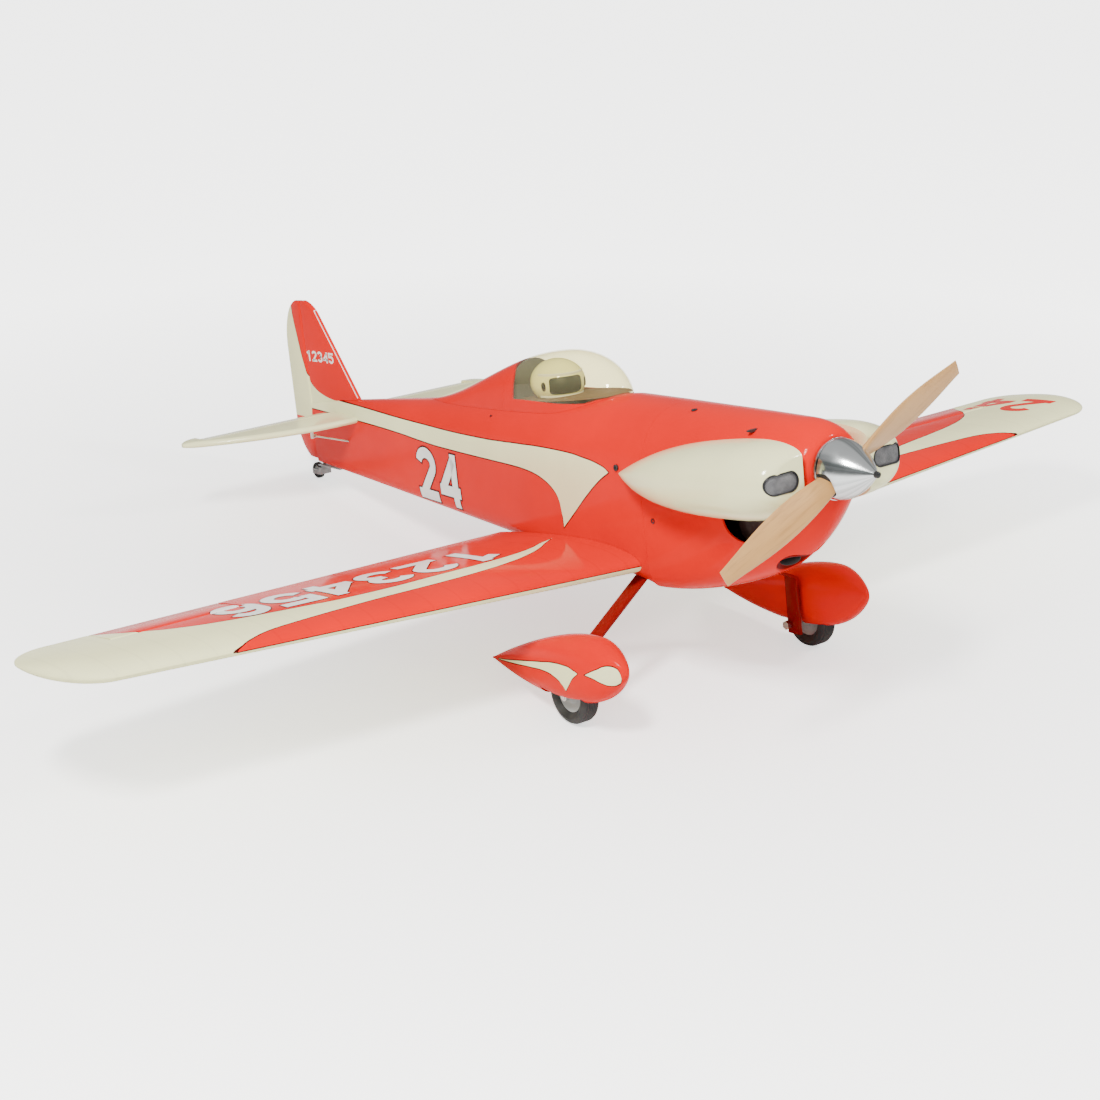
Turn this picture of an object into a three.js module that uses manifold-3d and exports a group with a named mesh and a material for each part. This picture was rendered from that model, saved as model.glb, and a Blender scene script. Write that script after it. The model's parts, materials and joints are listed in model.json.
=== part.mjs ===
// A giant-scale radio-controlled racing aeroplane, 2032 mm in span, standing on its
// two main wheels and its tail wheel. Millimetres, +Z up.
//
// Every piece is designed in the aircraft's own frame: the origin is the propeller hub,
// +Y runs aft along the thrust line, +X points to the aircraft's left wing and +Z is up.
// The whole aircraft is then pitched nose-up until all three tyres touch the ground.
import * as THREE from 'three';
import Module from 'manifold-3d';
import { mergeVertices } from 'three/addons/utils/BufferGeometryUtils.js';

const wasm = await Module();
wasm.setup();

// ---- Driving dimensions -------------------------------------------------------------
const HALF_SPAN = 1016;
const GAP = 0.35;                 // air between two pieces that touch
const HULL_START = 18;            // front face of the cowl
const COWL_END = 345;             // seam between cowl and fuselage
const HULL_END = 1496;            // stern post
const HULL_HALF_WIDTH = 98;
const NOSE_HALF_WIDTH = 40;
const STERN_HALF_WIDTH = 9;
const TAPER_START = 640;          // where the sides start to close in
const DECK = 67;                  // height of the flat top deck above the thrust line
const DECK_END = 480;             // the deck falls in a straight line from here
const DECK_SLOPE = 0.095;
const BELLY = -210;
const CANOPY_FRONT = 492;
const CANOPY_PEAK = 640;
const CANOPY_REAR = 756;
const RIDGE_END = 1080;           // where the fairing behind the canopy runs out
const RIDGE_HEIGHT = 75;
const RIDGE_HALF_WIDTH = 64;
const SPINNER_RADIUS = 44;
const SPINNER_LENGTH = 78;
const PROP_RADIUS = 254;
const PROP_ANGLE = THREE.MathUtils.degToRad(24.2);
const HUB_HALF = 11;              // half thickness of the propeller boss
const WING = { rootX: 99, leRoot: 364, leTip: 406, teRoot: 746, teTip: 643, z: -171,
  rise: 0.0445, tipStart: 936, tipY: 562, rootThickness: 0.125, tipThickness: 0.112 };
const AILERON = { inner: 653, outer: 877, chord: 74, endGap: 3 };
const STAB = { z: -44, le: 1284, hinge: 1385, te: 1428, halfSpan: 336, sweep: 112,
  flat: 60, half: 6, inner: 29, outer: 296 };
const FIN = { leFoot: 1315, lean: 0.79, top: 166, hinge: 1503, half: 5.5, chord: 70 };
const WHEEL = { x: 240, y: 368, z: -337.5, radius: 46, width: 32, facets: 24 };
const TAIL_WHEEL = { y: 1513, z: -170, radius: 16, width: 12, facets: 16 };
const PANT = { nose: 232, tail: 582, noseZ: -279, tailZ: -320, halfHeight: 51, halfWidth: 36 };

// ---- Materials ----------------------------------------------------------------------
function finish(color, roughness, metalness = 0) {
  return new THREE.MeshStandardMaterial({ color, roughness, metalness });
}
const red = finish(0xe23c28, 0.25);
const cream = finish(0xe9e6cf, 0.3);
const clear = finish(0xe8e4cc, 0.08);
const aluminium = finish(0xc9cbcc, 0.25, 1);
const steel = finish(0x8f9294, 0.3, 1);
const wood = finish(0xd9b07c, 0.45);
const plywood = finish(0xc8a571, 0.8);
const rubber = finish(0x202122, 0.85);
const hubGrey = finish(0x9a9c9c, 0.5);
const black = finish(0x161616, 0.5);
const darkGrey = finish(0x3c3d3e, 0.6);
const white = finish(0xe6e6e2, 0.5);

// ---- Geometry helpers ---------------------------------------------------------------
const at = (x, y, z) => new THREE.Vector3(x, y, z);
const clamp01 = (value) => Math.min(1, Math.max(0, value));
const arcRise = (t) => Math.sqrt(1 - (1 - clamp01(t)) ** 2);

function signedVolume(points, triangles) {
  let sum = 0;
  for (const [a, b, c] of triangles) {
    sum += points[a].dot(new THREE.Vector3().crossVectors(points[b], points[c]));
  }
  return sum;
}

// A closed body through rings of equally many points, closed by a fan at each end.
function loft(rings) {
  const count = rings[0].length;
  const points = rings.flat();
  const triangles = [];
  for (let ring = 0; ring + 1 < rings.length; ring += 1) {
    for (let i = 0; i < count; i += 1) {
      const j = (i + 1) % count;
      const a = ring * count + i;
      const b = ring * count + j;
      triangles.push([a, b, a + count], [b, b + count, a + count]);
    }
  }
  for (const [ring, turn] of [[0, 1], [rings.length - 1, -1]]) {
    const middle = new THREE.Vector3();
    rings[ring].forEach((point) => middle.addScaledVector(point, 1 / count));
    const hub = points.push(middle) - 1;
    for (let i = 0; i < count; i += 1) {
      const a = ring * count + i;
      const b = ring * count + ((i + 1) % count);
      triangles.push(turn > 0 ? [b, a, hub] : [a, b, hub]);
    }
  }
  if (signedVolume(points, triangles) < 0) triangles.forEach((triangle) => triangle.reverse());
  const geometry = new THREE.BufferGeometry().setFromPoints(points);
  geometry.setIndex(triangles.flat());
  return geometry;
}

function merged(geometry) {
  const bare = geometry.clone();
  bare.deleteAttribute('normal');
  bare.deleteAttribute('uv');
  return mergeVertices(bare, 1e-4);
}

function toSolid(geometry) {
  const shape = merged(geometry);
  const index = Array.from(shape.index.array);
  const triVerts = [];
  for (let i = 0; i < index.length; i += 3) {
    const [a, b, c] = index.slice(i, i + 3);
    if (a !== b && b !== c && c !== a) triVerts.push(a, b, c);
  }
  return new wasm.Manifold(new wasm.Mesh({
    numProp: 3,
    vertProperties: Float32Array.from(shape.attributes.position.array),
    triVerts: Uint32Array.from(triVerts),
  }));
}

function toGeometry(solid) {
  const { vertProperties, triVerts } = solid.getMesh();
  const geometry = new THREE.BufferGeometry();
  geometry.setAttribute('position', new THREE.BufferAttribute(Float32Array.from(vertProperties), 3));
  geometry.setIndex(Array.from(triVerts));
  return geometry;
}

function cut(geometry, ...tools) {
  return toGeometry(tools.reduce((solid, tool) => solid.subtract(toSolid(tool)), toSolid(geometry)));
}

function join(geometry, ...others) {
  return toGeometry(others.reduce((solid, other) => solid.add(toSolid(other)), toSolid(geometry)));
}

function common(geometry, other) {
  return toGeometry(toSolid(geometry).intersect(toSolid(other)));
}

function mirrored(geometry) {
  const copy = geometry.clone().scale(-1, 1, 1);
  const index = Array.from(copy.index.array);
  for (let i = 0; i < index.length; i += 3) [index[i], index[i + 1]] = [index[i + 1], index[i]];
  copy.setIndex(index);
  return copy;
}

function box(x0, x1, y0, y1, z0, z1) {
  const geometry = new THREE.BoxGeometry(x1 - x0, y1 - y0, z1 - z0);
  return geometry.translate((x0 + x1) / 2, (y0 + y1) / 2, (z0 + z1) / 2);
}

// A round bar from one point to another.
function rod(start, end, radius, sides = 12) {
  const along = new THREE.Vector3().subVectors(end, start);
  const geometry = new THREE.CylinderGeometry(radius, radius, along.length(), sides);
  const turn = new THREE.Quaternion().setFromUnitVectors(at(0, 1, 0), along.clone().normalize());
  geometry.applyQuaternion(turn);
  const middle = new THREE.Vector3().addVectors(start, end).multiplyScalar(0.5);
  return geometry.translate(middle.x, middle.y, middle.z);
}

// A body turned about the Y axis; the profile is a list of [radius, y].
function turned(profile, sides) {
  const geometry = new THREE.LatheGeometry(profile.map(([r, y]) => new THREE.Vector2(r, y)), sides);
  const solid = toSolid(geometry);
  return solid.volume() > 0 ? toGeometry(solid) : flipped(geometry);
}

function flipped(geometry) {
  const copy = merged(geometry);
  const index = Array.from(copy.index.array).reverse();
  copy.setIndex(index);
  return toGeometry(toSolid(copy));
}

// A ring of a superellipse whose upper and lower halves have their own power.
function ovalRing({ y, x = 0, z, halfWidth, up, down, upPower, downPower, sides }) {
  const ring = [];
  for (let i = 0; i < sides; i += 1) {
    const angle = (2 * Math.PI * (i + 0.5)) / sides;
    const c = Math.cos(angle);
    const s = Math.sin(angle);
    const power = s > 0 ? upPower : downPower;
    const height = s > 0 ? up : down;
    ring.push(at(x + halfWidth * Math.sign(c) * Math.abs(c) ** (2 / power), y,
      z + height * Math.sign(s) * Math.abs(s) ** (2 / power)));
  }
  return ring;
}

// ---- Hull: one continuous outer shape for the cowl and the fuselage -------------------
function hullHalfWidth(y) {
  if (y < TAPER_START) {
    return NOSE_HALF_WIDTH + (HULL_HALF_WIDTH - NOSE_HALF_WIDTH) * arcRise((y - HULL_START) / 215);
  }
  const t = clamp01((y - TAPER_START) / (HULL_END - TAPER_START));
  return HULL_HALF_WIDTH - (HULL_HALF_WIDTH - STERN_HALF_WIDTH) * t ** 1.15;
}

function hullTop(y) {
  if (y < DECK_END) return 42 + (DECK - 42) * arcRise((y - HULL_START) / 60);
  return DECK - DECK_SLOPE * (y - DECK_END);
}

function hullBottom(y) {
  if (y < COWL_END) return -40 + (BELLY + 40) * arcRise((y - HULL_START) / (COWL_END - HULL_START)) ** 1.15;
  return BELLY + 60 * ((y - COWL_END) / (HULL_END - COWL_END)) ** 0.6;
}

function hullRing(y, inset) {
  const top = hullTop(y) - inset;
  const bottom = hullBottom(y) + inset;
  const waist = bottom + 0.55 * (top - bottom);
  const along = clamp01((y - HULL_START) / (COWL_END - HULL_START));
  return ovalRing({ y, z: waist, halfWidth: hullHalfWidth(y) - inset, up: top - waist,
    down: waist - bottom, upPower: 2 + 0.4 * along, downPower: 1.6 + 5.4 * along ** 2.2, sides: 24 });
}

function stations(from, to, steps, spread = 1) {
  return Array.from({ length: steps + 1 }, (_, i) => from + (to - from) * (i / steps) ** spread);
}

const COWL_STATIONS = stations(HULL_START, COWL_END, 8, 1.7);
const BODY_STATIONS = stations(COWL_END, HULL_END, 11);

function hull(places, inset) {
  return loft(places.map((y) => hullRing(y, inset)));
}

const hullKeepOut = hull(COWL_STATIONS.concat(BODY_STATIONS.slice(1)), -GAP);

// ---- Cowl, cheeks and grilles ---------------------------------------------------------
const CHEEK = { front: 16, tail: 410, z: -5, tailZ: -32, inside: 62, reach: 88, halfHeight: 57 };

function makeCowl() {
  const wall = 3;
  const outer = hull(COWL_STATIONS, 0);
  const inner = hull(stations(HULL_START + 6, COWL_END + 10, 7, 1.5), wall);
  const noseHole = rod(at(0, HULL_START - 5, 0), at(0, HULL_START + 12, 0), 36, 20);
  const outlet = merged(rod(at(-140, 116, -66), at(-60, 116, -66), 38, 16));
  const scoop = rod(at(0, 110, -190), at(0, 110, -116), 27, 20).scale(1.35, 1, 1);
  const seam = box(-200, 200, COWL_END - GAP, COWL_END + 20, -300, 100);
  return cut(outer, inner, noseHole, outlet, mirrored(outlet), scoop, seam);
}

// Half of a teardrop that stands out from the side of the cowl over the engine's heads.
function cheekBody(inset) {
  return loft(stations(0, 1, 8, 1.5).map((t) => {
    const y = CHEEK.front + t * (CHEEK.tail - CHEEK.front) + inset;
    const swell = (0.6 + 0.4 * arcRise(t / 0.22)) * Math.cos((Math.PI / 2) * t ** 1.9);
    const halfHeight = Math.max(1, CHEEK.halfHeight * swell - inset);
    const reach = Math.max(4, CHEEK.reach * swell + 28 * t - inset);
    return ovalRing({ y, x: CHEEK.inside, z: CHEEK.z + (CHEEK.tailZ - CHEEK.z) * t,
      halfWidth: reach, up: halfHeight, down: halfHeight, upPower: 2.4, downPower: 2.4, sides: 16 });
  }));
}

const INLET = { x: 100, z: -1, halfWidth: 27, halfHeight: 15, depth: 30, grille: 3 };

function inletSlot(clearance, y0, y1) {
  const halfHeight = INLET.halfHeight + clearance;
  const run = INLET.halfWidth - INLET.halfHeight;
  const left = rod(at(INLET.x - run, y0, INLET.z), at(INLET.x - run, y1, INLET.z), halfHeight, 16);
  const right = rod(at(INLET.x + run, y0, INLET.z), at(INLET.x + run, y1, INLET.z), halfHeight, 16);
  const middle = box(INLET.x - run, INLET.x + run, y0, y1, INLET.z - halfHeight, INLET.z + halfHeight);
  return join(middle, left, right);
}

function makeCheek() {
  const blister = common(cheekBody(0), box(CHEEK.inside, 200, 0, 450, -120, 120));
  const shell = cut(blister, cheekBody(4), hullKeepOut, inletSlot(0, 0, INLET.depth));
  return largestPiece(shell);
}

function makeGrille() {
  return inletSlot(-GAP, INLET.depth - INLET.grille - GAP, INLET.depth - GAP);
}

// ---- Fuselage, fairing, canopy and cockpit ---------------------------------------------
function ridgeHeight(y) {
  if (y < CANOPY_PEAK) {
    return RIDGE_HEIGHT * arcRise((y - CANOPY_FRONT) / (CANOPY_PEAK - CANOPY_FRONT)) ** 1.15;
  }
  const t = (y - CANOPY_PEAK) / (RIDGE_END - CANOPY_PEAK);
  return RIDGE_HEIGHT * 0.5 * (1 + Math.cos(Math.PI * clamp01(t)));
}

function ridgeHalfWidth(y) {
  if (y < CANOPY_PEAK) return 4 + (RIDGE_HALF_WIDTH - 4) * arcRise((y - CANOPY_FRONT) / 130);
  return RIDGE_HALF_WIDTH - 42 * clamp01((y - CANOPY_PEAK) / (RIDGE_END - CANOPY_PEAK)) ** 1.2;
}

function ridgeRing(y, inset) {
  const foot = hullTop(y) - 30;
  return ovalRing({ y, z: foot, halfWidth: ridgeHalfWidth(y) - inset,
    up: 30 + ridgeHeight(y) - inset, down: 12, upPower: 2.3, downPower: 2, sides: 16 });
}

function ridge(from, to, steps, inset) {
  return loft(stations(from, to, steps).map((y) => ridgeRing(y, inset)));
}

const COCKPIT = { front: 524, rear: 750, half: 48, floor: -38 };

function makeFuselage() {
  const wall = 4;
  const outer = hull(BODY_STATIONS, 0);
  const inner = hull(stations(COWL_END - 5, HULL_END - 24, 9), wall);
  const cockpit = box(-COCKPIT.half, COCKPIT.half, COCKPIT.front, COCKPIT.rear, 20, 90);
  const stabSlot = box(-70, 70, STAB.le - 14, STAB.hinge + 8, STAB.z - 8, STAB.z + 8);
  const tube = rod(at(-130, WING_TUBE.y, WING_TUBE.z), at(130, WING_TUBE.y, WING_TUBE.z), 13.4, 20);
  const rodSlot = box(-60, 0, 1318, 1366, -97, -80);
  const legSlots = [gearLeg(2), mirrored(gearLeg(2))];
  const rudderSlot = box(0, 40, 1392, 1482, -118, -92);
  return cut(outer, inner, cockpit, stabSlot, tube, rodSlot, rudderSlot, ...legSlots);
}

function makeFirewall() {
  const plate = hull([COWL_END + 8, COWL_END + 14], 7);
  const engineBox = box(-46, 46, 196, COWL_END + 10, -46, 46);
  const hollow = box(-40, 40, 202, COWL_END + 30, -40, 40);
  return cut(join(plate, engineBox), hollow);
}

function makeTurtledeck() {
  const shape = ridge(CANOPY_REAR + GAP, RIDGE_END, 7, 0);
  const hollow = ridge(CANOPY_REAR - 5, RIDGE_END - 90, 5, 3);
  return largestPiece(cut(cut(shape, hollow), hullKeepOut));
}

function makeCanopy() {
  const shape = ridge(CANOPY_FRONT, CANOPY_REAR, 8, 0);
  const hollow = ridge(CANOPY_FRONT + 3, CANOPY_REAR + 5, 8, 1.6);
  return largestPiece(cut(cut(shape, hollow), hullKeepOut));
}

// The cuts leave slivers where two curved skins cross; only the main body is the piece.
function largestPiece(geometry) {
  const parts = toSolid(geometry).decompose();
  parts.sort((a, b) => b.volume() - a.volume());
  return toGeometry(parts[0]);
}

function makeCockpitFloor() {
  const tub = box(-44, 44, COCKPIT.front + 6, COCKPIT.rear - 6, COCKPIT.floor - 3, 38);
  const room = box(-41, 41, COCKPIT.front + 9, COCKPIT.rear - 9, COCKPIT.floor, 80);
  return cut(tub, room);
}

function makeInstrumentPanel() {
  const face = ovalRing({ y: 0, z: 20, halfWidth: 38, up: 24, down: 20, upPower: 2.4, downPower: 5,
    sides: 18 });
  const rings = [536, 541].map((y) => face.map((point) => at(point.x, y, point.z)));
  return loft(rings);
}

const PILOT = { y: 676, headZ: 78 };
const HEAD = { halfWidth: 42, depth: 46, height: 36 };
const NECK_TOP = 50;

function makePilotBust() {
  const rings = [[-37, 30, 20], [-15, 37, 22], [12, 39, 22], [28, 33, 20], [38, 24, 18], [44, 16, 16],
    [NECK_TOP, 14, 14]];
  return loft(rings.map(([z, halfWidth, depth]) => flatOval(z, halfWidth, depth)));
}

function flatOval(z, halfWidth, depth) {
  return Array.from({ length: 12 }, (_, i) => {
    const angle = (2 * Math.PI * i) / 12;
    return at(halfWidth * Math.cos(angle), PILOT.y + depth * Math.sin(angle), z);
  });
}

function headBall(inset) {
  const { halfWidth, depth, height } = HEAD;
  const ball = new THREE.SphereGeometry(1, 14, 9).scale(halfWidth - inset, depth - inset, height - inset);
  return ball.translate(0, PILOT.y, PILOT.headZ);
}

function faceWindow(clearance) {
  return box(-36 - clearance, 36 + clearance, PILOT.y - 60, PILOT.y - 20 + clearance,
    PILOT.headZ - 13 - clearance, PILOT.headZ + 12 + clearance);
}

function makeHelmet() {
  const neck = box(-50, 50, PILOT.y - 60, PILOT.y + 60, 20, NECK_TOP + GAP);
  return cut(headBall(0), neck, faceWindow(0));
}

function makeVisor() {
  return common(headBall(0.6), faceWindow(-GAP));
}

// ---- Wing and ailerons -------------------------------------------------------------------
const WING_TUBE = { y: 492, z: -168, radius: 12.7, reach: 420 };

function foilHalf(t) {
  return 5 * (0.2969 * Math.sqrt(t) - 0.126 * t - 0.3516 * t ** 2 + 0.2843 * t ** 3 - 0.1036 * t ** 4);
}

function wingEdges(x) {
  const t = (x - WING.rootX) / (WING.tipStart - WING.rootX);
  const le = WING.leRoot + (WING.leTip - WING.leRoot) * Math.min(1, t);
  const te = WING.teRoot + (WING.teTip - WING.teRoot) * Math.min(1, t);
  const u = clamp01((x - WING.tipStart) / (HALF_SPAN - WING.tipStart));
  const close = Math.sqrt(Math.max(0.0001, 1 - u * u));
  return { le: WING.tipY + (le - WING.tipY) * close, te: WING.tipY + (te - WING.tipY) * close,
    z: WING.z + WING.rise * (x - WING.rootX),
    thickness: WING.rootThickness + (WING.tipThickness - WING.rootThickness) * Math.min(1, t) };
}

function foilRing(x, le, te, z, thickness, edge = 1) {
  const chord = te - le;
  const points = [];
  const half = 7;
  for (let i = 0; i <= half; i += 1) {
    const t = 0.5 * (1 - Math.cos((Math.PI * i) / half));
    points.push([t, foilHalf(t) * thickness * chord + edge * t]);
  }
  const upper = points.map(([t, h]) => at(x, le + t * chord, z + h));
  const lower = points.slice(1).reverse().map(([t, h]) => at(x, le + t * chord, z - h));
  return upper.concat(lower);
}

function wingRing(x) {
  const { le, te, z, thickness } = wingEdges(x);
  return foilRing(x, le, te, z, thickness, 0.9);
}

function hingeLine(x) {
  const { te, le, z, thickness } = wingEdges(x);
  const y = te - AILERON.chord;
  const radius = foilHalf((y - le) / (te - le)) * thickness * (te - le) + 0.7;
  return { y, z, te, radius };
}

function makeWing() {
  const inner = [WING.rootX - 6, 300, 500, AILERON.inner, AILERON.outer];
  const tip = [0, 0.4, 0.7, 0.9, 1].map((u) => WING.tipStart + u * (HALF_SPAN - WING.tipStart));
  const panel = loft(inner.concat(tip).map(wingRing));
  const bay = loft([AILERON.inner, AILERON.outer].map((x) => {
    const { y, z, radius } = hingeLine(x);
    const front = y - radius - 1.4;
    const rear = front + 160;
    return [at(x, front, z - 40), at(x, front, z + 40), at(x, rear, z + 40), at(x, rear, z - 40)];
  }));
  const tube = rod(at(80, WING_TUBE.y, WING_TUBE.z), at(WING_TUBE.reach + 3, WING_TUBE.y, WING_TUBE.z),
    WING_TUBE.radius + 0.5, 20);
  const servoBay = box(SERVO.x - 22, SERVO.x + 22, SERVO.y - 13, SERVO.y + 13, -190, servoTop() + 1);
  const rodSlot = box(SERVO.x - 8, SERVO.x + 8, SERVO.y + 10, SERVO.y + 72, -190, servoTop() - 2);
  return largestPiece(cut(panel, bay, tube, servoBay, rodSlot, hullKeepOut));
}

// Hinged surface with a round nose centred on its hinge line.
function surfaceRing(place, y, z, te, radius, across) {
  const points = [];
  const steps = 8;
  for (let i = 0; i <= steps; i += 1) {
    const angle = Math.PI / 2 + (Math.PI * i) / steps;
    points.push([y + radius * Math.cos(angle), radius * Math.sin(angle)]);
  }
  points.push([te, -0.9], [te, 0.9]);
  return points.map(([along, offset]) => (across
    ? at(offset, along, place) : at(place, along, z + offset)));
}

function makeAileron() {
  const ends = [AILERON.inner + AILERON.endGap, AILERON.outer - AILERON.endGap];
  return loft(ends.map((x) => {
    const { y, z, te, radius } = hingeLine(x);
    return surfaceRing(x, y, z, te, radius, false);
  }));
}

// Aileron linkage: a servo let into the wing from below, a horn under the aileron, and a rod
// that runs from the horn into a slot behind the servo.
const SERVO = { x: 765, y: 500 };

function servoTop() {
  return wingEdges(SERVO.x).z;
}

function makeAileronServo() {
  const { z, thickness, le, te } = wingEdges(SERVO.x);
  const under = z - foilHalf((SERVO.y - le) / (te - le)) * thickness * (te - le);
  return box(SERVO.x - 20, SERVO.x + 20, SERVO.y - 10, SERVO.y + 10, under + 1, servoTop());
}

function linkHeight() {
  return hingeLine(SERVO.x).z - 22;
}

function makeAileronHorn() {
  const { y, z, radius } = hingeLine(SERVO.x);
  const arm = box(SERVO.x - 1.2, SERVO.x + 1.2, y - 3, y + 5, linkHeight() - 3, z - radius - GAP);
  const foot = box(SERVO.x - 7, SERVO.x + 7, y - 4, y + 12, z - radius - GAP - 2, z - radius - GAP);
  return join(arm, foot);
}

function makeAileronPushrod() {
  const x = SERVO.x - 4.4;
  return rod(at(x, SERVO.y + 24, servoTop() - 10), at(x, hingeLine(SERVO.x).y + 1, linkHeight()), 1.6, 8);
}

// ---- Tail ----------------------------------------------------------------------------------
function stabEdges(x) {
  const reach = Math.max(0, Math.abs(x) - STAB.flat) / (STAB.halfSpan - STAB.flat);
  const tip = clamp01((Math.abs(x) - 286) / (STAB.halfSpan - 286));
  const tipY = STAB.le + STAB.sweep;
  return { le: STAB.le + STAB.sweep * reach ** 2 - 1,
    te: tipY + (STAB.te - tipY) * Math.sqrt(1 - tip * tip) + 1 };
}

function plateRing(place, start, end, half, z, across) {
  const nose = Math.min(half * 1.6, (end - start) * 0.4);
  const edge = Math.min(half * 0.35, 2);
  const points = [[start, edge], [start + nose * 0.3, half * 0.72], [start + nose, half],
    [end - nose, half], [end, edge], [end, -edge], [end - nose, -half], [start + nose, -half],
    [start + nose * 0.3, -half * 0.72], [start, -edge]];
  return points.map(([along, offset]) => (across
    ? at(offset, along, place) : at(place, along, z + offset)));
}

function makeStabilizer() {
  const half = [0, 60, 130, 200, 260, 296, 318, 330, STAB.halfSpan - 0.5];
  const places = half.slice(1).reverse().map((x) => -x).concat(half);
  const plate = loft(places.map((x) => {
    const { le, te } = stabEdges(x);
    return plateRing(x, le, te, STAB.half * (Math.abs(x) > 320 ? 0.6 : 1), STAB.z, false);
  }));
  const bay = box(-STAB.outer - 1.5, STAB.outer + 1.5, STAB.hinge - STAB.half - 1, STAB.te + 20,
    STAB.z - 20, STAB.z + 20);
  return cut(plate, bay);
}

function makeElevator() {
  const halves = [1, -1].map((side) => loft([STAB.inner, 150, STAB.outer].map((x) => {
    const te = stabEdges(Math.min(x, 286)).te;
    return surfaceRing(side * x, STAB.hinge, STAB.z, te - 1, STAB.half - 0.6, false);
  })));
  const reach = STAB.inner + 5;
  const joiner = rod(at(-reach, STAB.hinge, STAB.z), at(reach, STAB.hinge, STAB.z), 3, 12);
  return join(halves[0], halves[1], joiner);
}

const ELEVATOR_HORN = { x: -74, drop: 32 };

function makeElevatorHorn() {
  const x = ELEVATOR_HORN.x;
  const under = STAB.z - STAB.half - 0.1;
  const foot = box(x - 8, x + 8, STAB.hinge - 4, STAB.hinge + 12, under - 2.2, under);
  const arm = box(x - 1.3, x + 1.3, STAB.hinge - 3, STAB.hinge + 5, STAB.z - ELEVATOR_HORN.drop - 4, under);
  return join(foot, arm);
}

function makeElevatorPushrod() {
  const end = at(ELEVATOR_HORN.x + 5.5, STAB.hinge + 1, STAB.z - ELEVATOR_HORN.drop);
  const eye = rod(at(end.x - 3.6, end.y, end.z), at(end.x + 3, end.y, end.z), 3.4, 10);
  return join(rod(at(-27, 1330, -89), end, 1.6, 8), eye);
}

function makeTailServo(x, y) {
  const body = box(x - 10, x + 10, y - 20, y + 20, -112, -86);
  return join(body, rod(at(x, y + 10, -90), at(x, y + 10, -82), 5, 12));
}

function finEdges(z) {
  const lead = FIN.leFoot + FIN.lean * (z + 14);
  const round = clamp01((z - (FIN.top - 34)) / 34);
  const topY = 1486;
  return { le: lead + (topY - lead) * (1 - Math.sqrt(1 - round * round)) };
}

function makeFin() {
  const heights = [-42, 20, 80, 120, 140, 152, 160, 165, FIN.top - 0.3];
  const end = FIN.hinge - FIN.half - 1.2;
  const blade = loft(heights.map((z) => plateRing(z, finEdges(z).le, end + 4, FIN.half, 0, true)));
  const cap = box(-10, 10, end, end + 20, -60, 200);
  const slot = box(-12, 12, 1300, 1520, -60, STAB.z + 7.8);
  return largestPiece(cut(blade, hullKeepOut, cap, slot));
}

function rudderTrail(z) {
  const high = clamp01((z - 70) / (FIN.top - 70));
  const low = clamp01((-70 - z) / 80);
  return FIN.hinge + 8 + (FIN.chord - 8) * Math.sqrt(Math.max(0, 1 - Math.max(high, low) ** 2));
}

function makeRudder() {
  const heights = [-144, -138, -125, -105, -75, 0, 70, 110, 135, 150, 160, FIN.top - 0.5];
  return loft(heights.map((z) => surfaceRing(z, FIN.hinge, 0, rudderTrail(z), FIN.half - 0.5, true)));
}

const RUDDER_LINK = { x: 26, z: -108 };

function makeRudderHorn() {
  const start = FIN.half + GAP;
  const x0 = start - 0.4;
  const foot = box(x0, x0 + 2, FIN.hinge - 2, FIN.hinge + 12, RUDDER_LINK.z - 6, RUDDER_LINK.z + 6);
  return join(foot, box(x0, RUDDER_LINK.x + 4, FIN.hinge + 0.5, FIN.hinge + 6,
    RUDDER_LINK.z - 1.2, RUDDER_LINK.z + 1.2));
}

function makeRudderPushrod() {
  const z = RUDDER_LINK.z + 4.2;
  return rod(at(RUDDER_LINK.x - 12, 1400, z), at(RUDDER_LINK.x, FIN.hinge + 2, z), 1.4, 8);
}

// ---- Tail wheel -------------------------------------------------------------------------------
const PIVOT_Y = 1488;

function makeTailBracket() {
  const top = hullBottom(1450) - 3.4;
  const plate = box(-9, 9, 1412, PIVOT_Y + 7, top - 2.6, top);
  const collar = rod(at(0, PIVOT_Y, top - 5), at(0, PIVOT_Y, top - 1), 6.5, 16);
  const hole = rod(at(0, PIVOT_Y, top - 12), at(0, PIVOT_Y, top + 6), 3.4, 12);
  return cut(join(plate, collar), hole);
}

function makeTailFork() {
  const { y, z } = TAIL_WHEEL;
  const crown = box(-11, 11, PIVOT_Y - 4.5, PIVOT_Y + 4.5, z - 4, z + 9.5);
  const arms = [1, -1].map((side) => box(Math.min(side * 7.5, side * 11), Math.max(side * 7.5, side * 11),
    PIVOT_Y, y + 5, z - 5, z + 5));
  const pin = rod(at(0, PIVOT_Y, z + 9), at(0, PIVOT_Y, z + 18), 3, 12);
  const axle = rod(at(-12.5, y, z), at(12.5, y, z), 1.8, 12);
  return join(crown, ...arms, pin, axle);
}

// ---- Wheels, axles, legs and wheel fairings ------------------------------------------------------
// A wheel turned about X, with one facet square to the ground under its centre.
function wheelRing(profile, facets, pitch) {
  const geometry = turned(profile, facets).rotateZ(-Math.PI / 2);
  return geometry.rotateX(Math.PI / facets + pitch);
}

function tyreProfile(radius, width, inner) {
  const half = width / 2;
  return [[inner, -half * 0.62], [radius * 0.82, -half], [radius, -half * 0.5], [radius, half * 0.5],
    [radius * 0.82, half], [inner, half * 0.62], [inner, -half * 0.62]];
}

function hubProfile(radius, half, bore) {
  return [[bore, -half], [radius * 0.45, -half], [radius, -half * 0.6], [radius, half * 0.6],
    [radius * 0.45, half], [bore, half], [bore, -half]];
}

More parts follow.
